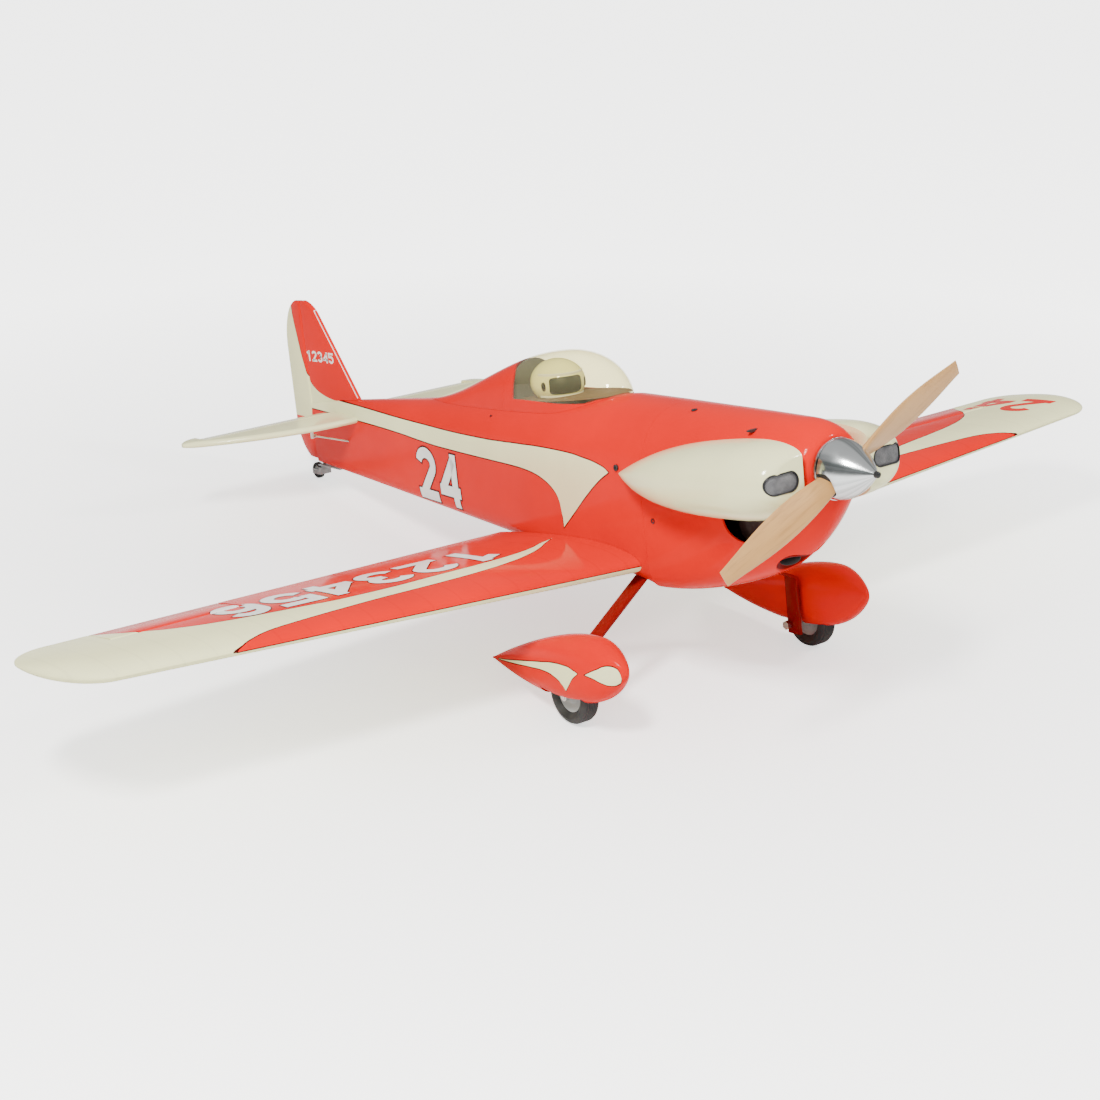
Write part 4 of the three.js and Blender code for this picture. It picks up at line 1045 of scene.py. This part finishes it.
def wing_top(x, y):
    """Height of the wing's or aileron's upper skin above the frame's origin."""
    front, rear, z, thickness = wing_edges(abs(x))
    t = clamp01((y - front) / (rear - front))
    return z + foil_half(t) * thickness * (rear - front) + 0.9 * t


# ---- Tail ----

STAB_Z, STAB_LE, STAB_HINGE, STAB_TE, STAB_HALF_SPAN = -44, 1284, 1385, 1428, 336
STAB_SWEEP, STAB_FLAT, STAB_HALF, STAB_INNER, STAB_OUTER = 112, 60, 6, 29, 296
STAB_TIP_START = 286


def stab_edges(x):
    """Leading and trailing edge of the stabilizer at x."""
    reach = max(0, abs(x) - STAB_FLAT) / (STAB_HALF_SPAN - STAB_FLAT)
    tip = clamp01((abs(x) - STAB_TIP_START) / (STAB_HALF_SPAN - STAB_TIP_START))
    tip_y = STAB_LE + STAB_SWEEP
    return STAB_LE + STAB_SWEEP * reach**2 - 1, tip_y + (STAB_TE - tip_y) * math.sqrt(1 - tip * tip) + 1


def plate_ring(where, start, end, half, z, upright):
    """A flat surface's section with a round leading edge and a softened trailing edge."""
    nose = min(half * 1.7, (end - start) * 0.42)
    outline = [(start + nose * (1 - math.cos(a)), half * math.sin(a)) for a in spaced(0, math.pi / 2, 9)]
    tail = min(half * 1.2, (end - start) * 0.3)
    outline += [(end - tail + tail * math.sin(a), half * (0.3 + 0.7 * math.cos(a)))
                for a in spaced(0, math.pi / 2, 5)]
    outline += [(along, -offset) for along, offset in reversed(outline[1:])]
    if upright:
        return [(offset, along, where) for along, offset in outline]
    return [(where, along, z + offset) for along, offset in outline]


def make_stabilizer():
    tip = [STAB_OUTER + 39.4 * math.sin(a) for a in spaced(0.08, math.pi / 2, 14)]
    half = [0, *spaced(20, STAB_OUTER, 28), *tip]
    places = [-x for x in half[:0:-1]] + half
    rings = []
    for x in places:
        front, rear = stab_edges(x)
        slim = 1 - 0.5 * clamp01((abs(x) - 310) / 26) ** 2
        rings.append(plate_ring(x, front, rear, STAB_HALF * slim, STAB_Z, False))
    plate = loft("stabilizer_skin", rings)
    bay = box("elevator_bay", (-STAB_OUTER - 1.5, STAB_HINGE - STAB_HALF - 1, STAB_Z - 20),
              (STAB_OUTER + 1.5, STAB_TE + 20, STAB_Z + 20))
    carve(plate, bay)
    dress(plate, cream, ["stabilizer"])


def make_elevator():
    halves = []
    for side in (-1, 1):
        rings = []
        for x in spaced(STAB_INNER, STAB_OUTER, 16):
            rear = stab_edges(min(x, STAB_TIP_START))[1] - 1
            rings.append(surface_ring(x, STAB_HINGE, STAB_Z, rear, STAB_HALF - 0.6, False, side))
        halves.append(loft("elevator_half", rings))
    reach = STAB_INNER + 5
    joiner = rod("elevator_joiner", (-reach, STAB_HINGE, STAB_Z), (reach, STAB_HINGE, STAB_Z), 3)
    carve(halves[0], halves[1], joiner, operation="UNION")
    halves[0].name = "elevator_skin"
    dress(halves[0], cream, ["elevator"], "elevator_group")


def make_fin():
    heights = [*spaced(-42, 132, 40), *(132 + 33.7 * math.sin(a) for a in spaced(0.06, math.pi / 2, 16))]
    end = FIN_HINGE - FIN_HALF - 1.2
    rings = []
    for z in heights:
        lead = FIN_FOOT + FIN_LEAN * (z + FIN_ROOT)
        rounding = clamp01((z - (FIN_TOP - 22)) / 22)
        front = lead + (1486 - lead) * (1 - math.sqrt(1 - rounding * rounding))
        rings.append(plate_ring(z, front, end, FIN_HALF, 0, True))
    fin = loft("fin_skin", rings)
    slot = box("tailplane_slot", (-12, 1300, -60), (12, 1520, STAB_Z + 7.8))
    carve(fin, hull_keep_out(), slot)
    dress(fin, tail_scheme, ["fin"])


def rudder_trail(z):
    """Trailing edge of the rudder at a height."""
    high, low = clamp01((z - 70) / (FIN_TOP - 70)), clamp01((-70 - z) / 80)
    return FIN_HINGE + 8 + (FIN_CHORD - 8) * math.sqrt(max(0, 1 - max(high, low) ** 2))


def make_rudder():
    low = [-144 + 74 * (1 - math.cos(a)) for a in spaced(0, math.pi / 2, 18)]
    high = [70 + 95.5 * math.sin(a) for a in spaced(0.05, math.pi / 2, 22)]
    rings = [surface_ring(z, FIN_HINGE, 0, rudder_trail(z), FIN_HALF - 0.5, True)
             for z in (*low, 0, 40, *high)]
    dress(loft("rudder_skin", rings), tail_scheme, ["rudder"], "rudder_group")


# ---- Wheels and wheel fairings ----

PANT_NOSE, PANT_TAIL = 229.5, 582
LEG_START, LEG_KNEE, LEG_FOOT = (58, -187), (196.5, -256.25), (196.5, -352)
LEG_THICK, LEG_WIDTH, LEG_Y, LEG_RAKE = 4.6, 27, 394, 0.26


def gear_leg(name, side, clearance):
    """A bent strip from the belly out to the knee and down past the axle, grown by a clearance."""
    half = LEG_THICK / 2 + clearance
    slope = math.atan2(LEG_KNEE[1] - LEG_START[1], LEG_KNEE[0] - LEG_START[0])
    across = (-math.sin(slope) * half, math.cos(slope) * half)
    miter = half * math.tan((math.pi / 2 + slope) / 2)
    wide = LEG_WIDTH / 2 + clearance
    pairs = [((LEG_START[0] + across[0], LEG_START[1] + across[1]),
              (LEG_START[0] - across[0], LEG_START[1] - across[1])),
             ((LEG_KNEE[0] + half, LEG_KNEE[1] + miter), (LEG_KNEE[0] - half, LEG_KNEE[1] - miter)),
             ((LEG_FOOT[0] + half, LEG_FOOT[1] - clearance), (LEG_FOOT[0] - half, LEG_FOOT[1] - clearance))]
    rings = []
    for upper, lower in pairs:
        ring = []
        for (x, z), edge in ((upper, -1), (upper, 1), (lower, 1), (lower, -1)):
            ring.append((side * x, LEG_Y - LEG_RAKE * (x - LEG_START[0]) + edge * wide, z))
        rings.append(ring)
    return loft(name, rings)


def make_gear_leg(name, side):
    leg = gear_leg(name + "_strip", side, 0)
    carve(leg, rod("axle_hole", (side * 180, WHEEL_Y, WHEEL_Z), (side * 215, WHEEL_Y, WHEEL_Z), 4.5))
    round_edges(leg, 1.0)
    # The leg's red is darkened as painted shade.
    dress(leg, red_in_painted_shade, [name])


def pant_ring(t, side):
    y = PANT_NOSE + t * (PANT_TAIL - PANT_NOSE)
    swell = max(0.03, 1.02 * foil_half(clamp01(t * 0.995 + 0.002)) / 0.5)
    swell *= 1 - 0.42 * (1 - clamp01(t / 0.2)) ** 2
    height, width = max(0.8, 51 * swell), max(0.8, 36 * swell)
    return oval_ring(y, side * WHEEL_X, -279 - 41 * t, width, height, height, 2.3, 2.5, 72)


def make_pant(name, side):
    places = [*(0.28 * t**1.9 for t in spaced(0, 1, 36)), *spaced(0.3, 1, 44)]
    pant = loft(name + "_skin", [pant_ring(t, side) for t in places])
    low, high = sorted((side * (WHEEL_X - 20), side * (WHEEL_X + 26)))
    well = box("wheel_well", (low, WHEEL_Y - 53, -420), (high, WHEEL_Y + 53, WHEEL_Z + 53))
    bore = rod("axle_bore", (side * 190, WHEEL_Y, WHEEL_Z), (side * WHEEL_X, WHEEL_Y, WHEEL_Z), 8.5)
    carve(pant, well, bore, gear_leg("leg_room", side, GAP))
    dress(pant, pant_scheme, [name])


def tyre_profile(radius, half, inner, ribs):
    """Half-round shoulders and a ribbed tread, as (radius, along) pairs."""
    shoulder = [(radius * 0.965, half * 0.76), (radius * 0.9, half * 0.93), (radius * 0.80, half),
                (inner + (radius - inner) * 0.3, half * 0.88), (inner, half * 0.62)]
    profile = [(r, -along) for r, along in shoulder[::-1]]
    edge = half * 0.58
    for i in range(ribs):
        middle = -edge + 2 * edge * (i + 0.5) / ribs
        width = edge / ribs
        profile += [(radius - 0.9, middle - width * 0.98), (radius, middle - width * 0.7),
                    (radius, middle + width * 0.7), (radius - 0.9, middle + width * 0.98)]
    return profile + shoulder


def make_wheel(word, side):
    centre, body = (side * WHEEL_X, WHEEL_Y, WHEEL_Z), f"wheel_{word}_group"
    reach = WHEEL_RADIUS * math.cos(math.pi / 24)
    tyre = turned(f"tyre_{word}", tyre_profile(reach, 16, 27.3, 6), centre, SIDE, 96)
    dress(tyre, rubber, [f"main_tyre_{word}"], body, 30)
    half_dish = [(26.9, 9.6), (25.5, 9.6), (22, 7.5), (15, 6.5), (12, 8), (11, 10), (4.4, 10)]
    dish = [(r, -along) for r, along in half_dish[::-1]] + half_dish
    hub = turned(f"hub_{word}", dish, centre, SIDE, 96)
    dress(hub, hub_grey, [f"wheel_hub_{word}"], body, 30)


def make_tail_wheel():
    centre = (0, TAIL_WHEEL_Y, TAIL_WHEEL_Z)
    reach = TAIL_WHEEL_RADIUS * math.cos(math.pi / 16)
    tyre = turned("tail_tyre", tyre_profile(reach, 6, 9.3, 2), centre, SIDE, 72)
    dress(tyre, rubber, ["tail_wheel_tyre"], "tail_wheel_group", 30)


# ---- Propeller and spinner ----


def about_thrust_line(name, profile, sides, closed=True):
    return turned(name, profile, (0, 0, 0), (0, 1, 0), sides, closed)


def prop_turned(x, y, z):
    """A point of a level propeller, turned to where the propeller has stopped."""
    c, s = math.cos(PROP_ANGLE), math.sin(PROP_ANGLE)
    return x * c - z * s, y, z * c + x * s


def blade_ring(radius, sign, count=40):
    """A section of one blade: an oval, fuller at its front, twisted less towards the tip."""
    t = radius / PROP_RADIUS
    chord = 24 + 23 * math.sin(math.pi * clamp01((t - 0.02) / 0.98)) ** 1.2
    thick = 14 - 11.5 * t**0.6
    twist = math.atan2(0.16, max(t, 0.16)) * 0.9
    ring = []
    for i in range(count):
        angle = 2 * math.pi * i / count
        across = chord / 2 * math.cos(angle)
        deep = thick / 2 * math.sin(angle) * (1 + 0.25 * math.cos(angle))
        y = deep * math.cos(twist) - across * math.sin(twist)
        z = across * math.cos(twist) + deep * math.sin(twist)
        ring.append(prop_turned(sign * radius, y, sign * z))
    return ring


def make_propeller():
    places = list(spaced(2, 250, 70)) + [252, 253.3, 254]
    blades = [loft("blade", [blade_ring(r, sign) for r in places]) for sign in (1, -1)]
    half_boss = [(21, HUB_HALF - 1), (20, HUB_HALF), (8.4, HUB_HALF)]
    boss_profile = [(r, -y) for r, y in half_boss[::-1]] + half_boss
    boss = about_thrust_line("boss", boss_profile, 72)
    carve(blades[0], blades[1], boss, operation="UNION")
    carve(blades[0], rod("bore", (0, -30, 0), (0, 30, 0), 8.4, 48))
    blades[0].name = "propeller_blades"
    dress(blades[0], wood, ["propeller"], "propeller_group", 50)


def spinner_radius(t):
    return SPINNER_RADIUS * math.sin(math.pi / 2 * t) ** 1.06


def blade_cutout(name, sign):
    """A rounded cut-out for one blade at the spinner's base."""
    outline = oval(3, 0, 17, 20, 2.6, 48)
    return loft(name, [[prop_turned(sign * reach, y, sign * across) for y, across in outline]
                       for reach in (6, 62)])


def make_spinner():
    outer = [(spinner_radius(t), HUB_HALF - 1.4 - SPINNER_LENGTH * (1 - t)) for t in spaced(0.07, 1, 40)]
    inner = [(max(3.1, r - 1.8), y + (0 if i == 39 else 1.2)) for i, (r, y) in enumerate(outer)]
    inner[0] = (3.1, outer[0][1])
    cone = about_thrust_line("spinner_cone", outer + inner[::-1], 128)
    carve(cone, blade_cutout("cutout_a", 1), blade_cutout("cutout_b", -1))
    dress(cone, spinner_metal, ["spinner"], "propeller_group", 30)
    core_profile = [(8.6, -13), (30, -12), (40, 9.5), (40, HUB_HALF), (8.6, HUB_HALF)]
    core = about_thrust_line("spinner_core", core_profile, 64)
    dress(core, black, body="propeller_group")
    edge = SPINNER_RADIUS + 0.8
    rim = [(8.5, GAP), (edge - 2, GAP), (edge, 1.2), (edge, 4.0), (SPINNER_RADIUS, 4.5), (8.5, 4.5)]
    plate = about_thrust_line("spinner_plate", [(r, HUB_HALF + along) for r, along in rim], 128)
    dress(plate, spinner_metal, ["spinner_backplate"], "propeller_group", 30)
    front = HUB_HALF - SPINNER_LENGTH * 0.93
    nut = [(0, -8.2), (2.4, -8.0), (4.2, -6.8), (4.8, -5), (4.8, -0.4), (2.7, -0.4), (2.7, 24), (0, 24)]
    cap = about_thrust_line("spinner_cap", [(r, front + along) for r, along in nut], 48, closed=False)
    dress(cap, black, ["spinner_nut"], "propeller_group", 30)


# ---- Numbers, screws and small fittings ----


DIGIT_WIDTH, DIGIT_GAP, STROKE = 0.72, 0.11, 0.10
LEFT, RIGHT, MIDDLE = STROKE, DIGIT_WIDTH - STROKE, DIGIT_WIDTH / 2
LOW, WAIST, HIGH = STROKE, 0.52, 1 - STROKE


def arc(x, z, half_width, half_height, start, end, steps=18):
    """Points of an elliptical arc between two angles in degrees."""
    return [(x + half_width * math.cos(math.radians(a)), z + half_height * math.sin(math.radians(a)))
            for a in spaced(start, end, steps)]


def digit_strokes(digit):
    """Centre lines of a plain bold numeral in a box DIGIT_WIDTH wide and 1 high."""
    bowl = MIDDLE - LEFT
    upper, lower = (HIGH + WAIST) / 2, (WAIST + LOW) / 2
    over = arc(MIDDLE, upper, bowl, HIGH - upper, 165, -90)
    under = arc(MIDDLE, lower, bowl, lower - LOW, 90, -165)
    shapes = {
        "1": [[(MIDDLE + 0.06, 0), (MIDDLE + 0.06, 1)], [(0.10, 0.72), (MIDDLE + 0.06, 0.88)]],
        "2": [arc(MIDDLE, 0.69, bowl, HIGH - 0.69, 170, -25) + [(LEFT + 0.05, LOW)],
              [(0, LOW), (DIGIT_WIDTH, LOW)]],
        "3": [over, under],
        "4": [[(RIGHT - 0.06, 0), (RIGHT - 0.06, 1)], [(RIGHT - 0.07, 0.88), (0.10, 0.31)],
              [(0, 0.29), (DIGIT_WIDTH + 0.01, 0.29)]],
        "5": [[(RIGHT + 0.08, HIGH), (LEFT, HIGH), (LEFT, 0.50)],
              arc(MIDDLE, 0.36, bowl, 0.36 - LOW, 125, -165)],
        "6": [arc(MIDDLE, 0.34, bowl, 0.34 - LOW, 0, 360, 30),
              arc(MIDDLE, 0.66, bowl, HIGH - 0.66, 25, 180) + [(LEFT, 0.34)]],
    }
    return shapes[digit]


def stroke_ribbon(path, grow):
    """A flat band along a path, as points and faces, fine enough to follow a curved skin."""
    half = STROKE + grow
    path = np.array(path, float)
    path[0] -= grow * (path[1] - path[0]) / np.linalg.norm(path[1] - path[0])
    path[-1] += grow * (path[-1] - path[-2]) / np.linalg.norm(path[-1] - path[-2])
    fine = [path[0]]
    for start, end in zip(path, path[1:]):
        pieces = max(1, math.ceil(math.dist(start, end) / 0.04))
        fine += [start + (end - start) * i / pieces for i in range(1, pieces + 1)]
    line = np.array(fine)
    ahead = np.diff(line, axis=0)
    ahead /= np.linalg.norm(ahead, axis=1)[:, None]
    before, after = np.vstack([ahead[:1], ahead]), np.vstack([ahead, ahead[-1:]])
    bisector = before + after
    bisector /= np.linalg.norm(bisector, axis=1)[:, None]
    reach = half / np.maximum(0.6, (bisector * after).sum(axis=1))
    normal = np.column_stack([-bisector[:, 1], bisector[:, 0]]) * reach[:, None]
    points = np.concatenate([line + normal * k for k in (-1, -0.6, -0.2, 0.2, 0.6, 1)])
    count = len(line)
    faces = [(row * count + i, row * count + i + 1, (row + 1) * count + i + 1, (row + 1) * count + i)
             for row in range(5) for i in range(count - 1)]
    return points, faces


def number_mesh(text, width, height, onto, grow):
    """Points and faces of digits laid on a skin: onto(u, v) gives the place of a point of the text."""
    block = len(text) * DIGIT_WIDTH + (len(text) - 1) * DIGIT_GAP
    points, faces = [], []
    for index, digit in enumerate(text):
        for path in digit_strokes(digit):
            band, quads = stroke_ribbon(path, grow)
            faces += [tuple(len(points) + i for i in quad) for quad in quads]
            shift = index * (DIGIT_WIDTH + DIGIT_GAP)
            points += [onto((u + shift) / block * width, v * height) for u, v in band]
    return points, faces


def make_number(name, mesh, material, body="airframe", keep=None):
    """A painted number, or only those of its faces whose corners all pass keep(x, y)."""
    points, faces = mesh
    if keep is not None:
        passed = [keep(x, y) for x, y, _ in points]
        faces = [face for face in faces if all(passed[i] for i in face)]
        used = sorted({i for face in faces for i in face})
        renumbered = {old: new for new, old in enumerate(used)}
        points = [points[i] for i in used]
        faces = [tuple(renumbered[i] for i in face) for face in faces]
    dress(mesh_object(name, points, faces), material, body=body, sharp=60)


def hull_side(y, z):
    """Half width of the hull at a height on its side."""
    top, bottom = hull_top(y), hull_bottom(y)
    waist = bottom + 0.55 * (top - bottom)
    along = clamp01((y - HULL_START) / (COWL_END - HULL_START))
    power = 2 + 0.4 * along if z > waist else 1.6 + 5.4 * along**2.2
    height = top - waist if z > waist else waist - bottom
    return hull_half_width(y) * (1 - clamp01(abs(z - waist) / height) ** power) ** (1 / power)


def make_side_numbers():
    """The race number in white on a slightly larger dark one, reading forwards on each side."""
    rear, foot, width, height = 1040, -154, 158, 95
    for word, side in SIDES:
        layers = (("edge", 0.3, 0.03, number_edge), ("fill", 0.6, 0, number_white))
        for layer, lift, grow, material in layers:
            def onto(u, v, side=side, lift=lift):
                y = rear - u if side < 0 else rear - width + u
                z = foot + v
                return side * (hull_side(y, z) + lift), y, z
            mesh = number_mesh("24", width, height, onto, grow)
            make_number(f"race_number_{word}_{layer}", mesh, material)


def make_fin_numbers():
    """The registration, reading forwards on each side of the fin."""
    rear, foot, width, height = 1492, 50, 102, 21
    for word, side in SIDES:
        def onto(u, v, side=side):
            y = rear - u if side < 0 else rear - width + u
            return side * (FIN_HALF + 0.25), y, foot + v
        mesh = number_mesh("12345", width, height, onto, 0)
        make_number(f"fin_number_{word}", mesh, number_white)


def over_aileron(x, y):
    if not AILERON_INNER + 3 < abs(x) < AILERON_OUTER - 3:
        return False
    hinge_y, _, _, radius = hinge_line(abs(x))
    return y > hinge_y - 0.85 * radius


def over_wing(x, y):
    hinge_y, _, _, radius = hinge_line(abs(x))
    return not AILERON_INNER <= abs(x) <= AILERON_OUTER or y < hinge_y - radius - 1.4


def skin_top(x, y):
    """Height of the upper skin of the wing, or of the aileron where that is what is there."""
    hinge_y, z, _, radius = hinge_line(abs(x))
    if over_aileron(x, y) and y < hinge_y:
        return z + math.sqrt(max(0, radius**2 - (hinge_y - y) ** 2))
    return wing_top(x, y)


def make_wing_number(name, side_word, mesh, material):
    """The number in two pieces, so that the part on the aileron moves with it."""
    make_number(f"{name}_on_wing", mesh, material, keep=over_wing)
    make_number(f"{name}_on_aileron", mesh, material, f"aileron_{side_word}_group", over_aileron)


def make_wing_numbers():
    """A registration along the right wing, read from ahead, and the race number at the left tip."""
    for layer, lift, grow, material in (("edge", 0.3, 0.02, number_edge), ("fill", 0.5, 0, number_white)):
        def on_right(u, v, lift=lift):
            x, y = -236 - u, 617 - v
            return x, y, skin_top(x, y) + lift
        mesh = number_mesh("123456", 474, 110, on_right, grow)
        make_wing_number(f"wing_number_right_{layer}", "right", mesh, material)

    def on_left(u, v):
        x, y = 946 - v, 460 + u
        return x, y, skin_top(x, y) + 0.3
    make_wing_number("wing_number_left", "left", number_mesh("24", 150, 92, on_left, 0), plain_red)


def make_screw(name, centre, out, radius):
    """A dark socket-head screw sunk in the skin."""
    out = np.asarray(out, float) / np.linalg.norm(out)
    head = [(0, -1.0), (radius * 0.45, -1.0), (radius * 0.5, 0.5), (radius, 0.7), (radius, -2.0), (0, -2.0)]
    dress(turned(name, head, centre, out, 32, closed=False), black, sharp=30)


def make_fittings():
    """Screws on the sides and the deck, and a slot in the deck."""
    for word, side in SIDES:
        make_screw(f"cowl_screw_low_{word}", (side * 98.2, 321, -95), (side, 0, 0), 4.2)
        make_screw(f"cheek_screw_{word}", (side * 98.2, 402, -22), (side, 0, 0.1), 5.0)
        make_screw(f"rear_screw_{word}", (side * (hull_side(783, 16) + 0.1), 783, 16), (side, 0, 0.4), 2.6)
    make_screw("deck_screw", (-28, 287, 65.0), (-0.1, 0, 1), 4.6)
    slot = [oval_ring(128 + dy, -52, 54.5, 11, 1.2, 3, 2.4, 2.4, 24) for dy in (-2.6, 2.6)]
    dress(loft("deck_slot", slot), black)


# ---- Studio ----


def make_floor():
    """A pale floor with a glow that only the camera sees, stronger away from the aircraft: the weaker glow near
    the aircraft is a painted shadow.
    """
    surface = Surface("floor")
    shade = surface.mix(surface.ramp(surface.noise(0.7, 3.0), 0.3, 0.7), (0.90, 0.895, 0.885, 1),
                        (0.93, 0.925, 0.92, 1))
    lit = surface.principled(Base_Color=shade, Roughness=0.65)
    seen = surface.node("LightPath", {}).outputs["Is Camera Ray"]
    # Painted shadow: the glow is weaker near the aircraft.
    away = surface.vector("LENGTH", surface.point, (0, 0, 0), "Value")
    strength = surface.math("MULTIPLY", seen, surface.ramp(away, 0.3, 2.2, 1.1, 3.4))
    glow = surface.node("Emission", {"Color": (1, 1, 0.99, 1), "Strength": strength})
    material = surface.done(surface.node("AddShader", {0: lit, 1: glow.outputs[0]}).outputs[0])
    mesh = bpy.data.meshes.new("floor")
    mesh.from_pydata([(-60, -60, -0.0005), (60, -60, -0.0005), (60, 60, -0.0005), (-60, 60, -0.0005)], [],
                     [(0, 1, 2, 3)])
    floor = bpy.data.objects.new("floor", mesh)
    mesh.materials.append(material)
    bpy.context.scene.collection.objects.link(floor)


def make_light(name, location, size, power, color=(1, 1, 1)):
    """A rectangular lamp aimed at the aircraft."""
    lamp = bpy.data.lights.new(name, "AREA")
    lamp.shape = "RECTANGLE"
    lamp.size, lamp.size_y = size
    lamp.energy = power
    lamp.color = color
    obj = bpy.data.objects.new(name, lamp)
    bpy.context.scene.collection.objects.link(obj)
    obj.location = location
    aim = np.array([0, 0, 0.2]) - np.array(location)
    z = -aim / np.linalg.norm(aim)
    x = np.cross([0, 0, 1], z)
    x /= np.linalg.norm(x)
    obj.rotation_mode = "QUATERNION"
    obj.rotation_quaternion = Matrix(np.column_stack([x, np.cross(z, x), z]).tolist()).to_quaternion()


def make_studio():
    """Floor, two lamps, and surroundings that are brighter above and dimmer in reflections."""
    make_floor()
    world = bpy.data.worlds.new("studio")
    world.use_nodes = True
    nodes, links = world.node_tree.nodes, world.node_tree.links
    sky = nodes.new("ShaderNodeSeparateXYZ")
    links.new(nodes.new("ShaderNodeTexCoord").outputs["Generated"], sky.inputs[0])
    rise = nodes.new("ShaderNodeMapRange")
    links.new(sky.outputs["Z"], rise.inputs[0])
    for socket, value in zip(list(rise.inputs)[1:5], (0.0, 0.6, 0.42, 0.85)):
        socket.default_value = value
    mirror_share = nodes.new("ShaderNodeMath")
    mirror_share.operation = "MULTIPLY_ADD"
    links.new(nodes.new("ShaderNodeLightPath").outputs["Is Glossy Ray"], mirror_share.inputs[0])
    mirror_share.inputs[1].default_value, mirror_share.inputs[2].default_value = -0.35, 1.0
    strength = nodes.new("ShaderNodeMath")
    strength.operation = "MULTIPLY"
    links.new(rise.outputs[0], strength.inputs[0])
    links.new(mirror_share.outputs[0], strength.inputs[1])
    background = nodes["Background"]
    background.inputs["Color"].default_value = (1.0, 0.995, 0.985, 1)
    links.new(strength.outputs[0], background.inputs["Strength"])
    bpy.context.scene.world = world
    make_light("key", (-2.2, -1.6, 3.2), (0.5, 0.8), 210, (1, 0.985, 0.96))
    make_light("fill", (2.4, -2.6, 2.8), (0.5, 0.7), 75)


def make_camera():
    """Right front quarter, from a little above the wing."""
    turn, drop, roll = 0.600830, 0.242985, -0.104349
    forward = np.array([math.sin(turn) * math.cos(drop), math.cos(turn) * math.cos(drop), -math.sin(drop)])
    right = np.cross(forward, [0, 0, 1])
    right /= np.linalg.norm(right)
    upward = np.cross(right, forward)
    c, s = math.cos(roll), math.sin(roll)
    right, upward = c * right + s * upward, -s * right + c * upward
    columns = np.column_stack([v @ AXES for v in (right, upward, -forward)])
    camera = bpy.data.cameras.new("camera")
    camera.lens, camera.sensor_width = 72, 36
    obj = bpy.data.objects.new("camera", camera)
    bpy.context.scene.collection.objects.link(obj)
    matrix = Matrix(columns.tolist()).to_4x4()
    matrix.translation = place([(-2039.99, -2233.16, 671.65)])[0]
    obj.matrix_world = matrix
    bpy.context.scene.camera = obj


# ---- Everything together ----

make_cowl()
make_chin_pocket()
make_outlet_baffles()
make_fuselage()
for word, side in reversed(SIDES):
    make_cheek(f"cheek_fairing_{word}", side)
    make_grille(f"cheek_grille_{word}", side)
    make_inlet_rim(f"inlet_rim_{word}", side)
    make_wing(f"wing_{word}", side)
    make_aileron(f"aileron_{word}", side)
    make_gear_leg(f"gear_leg_{word}", side)
    make_pant(f"wheel_pant_{word}", side)
    make_wheel(word, side)
make_canopy()
make_turtledeck()
make_rear_bulkhead()
make_sill()
make_helmet()
make_bust()
make_stabilizer()
make_elevator()
make_fin()
make_rudder()
make_tail_wheel()
make_propeller()
make_spinner()
make_side_numbers()
make_fin_numbers()
make_wing_numbers()
make_fittings()
make_studio()
make_camera()
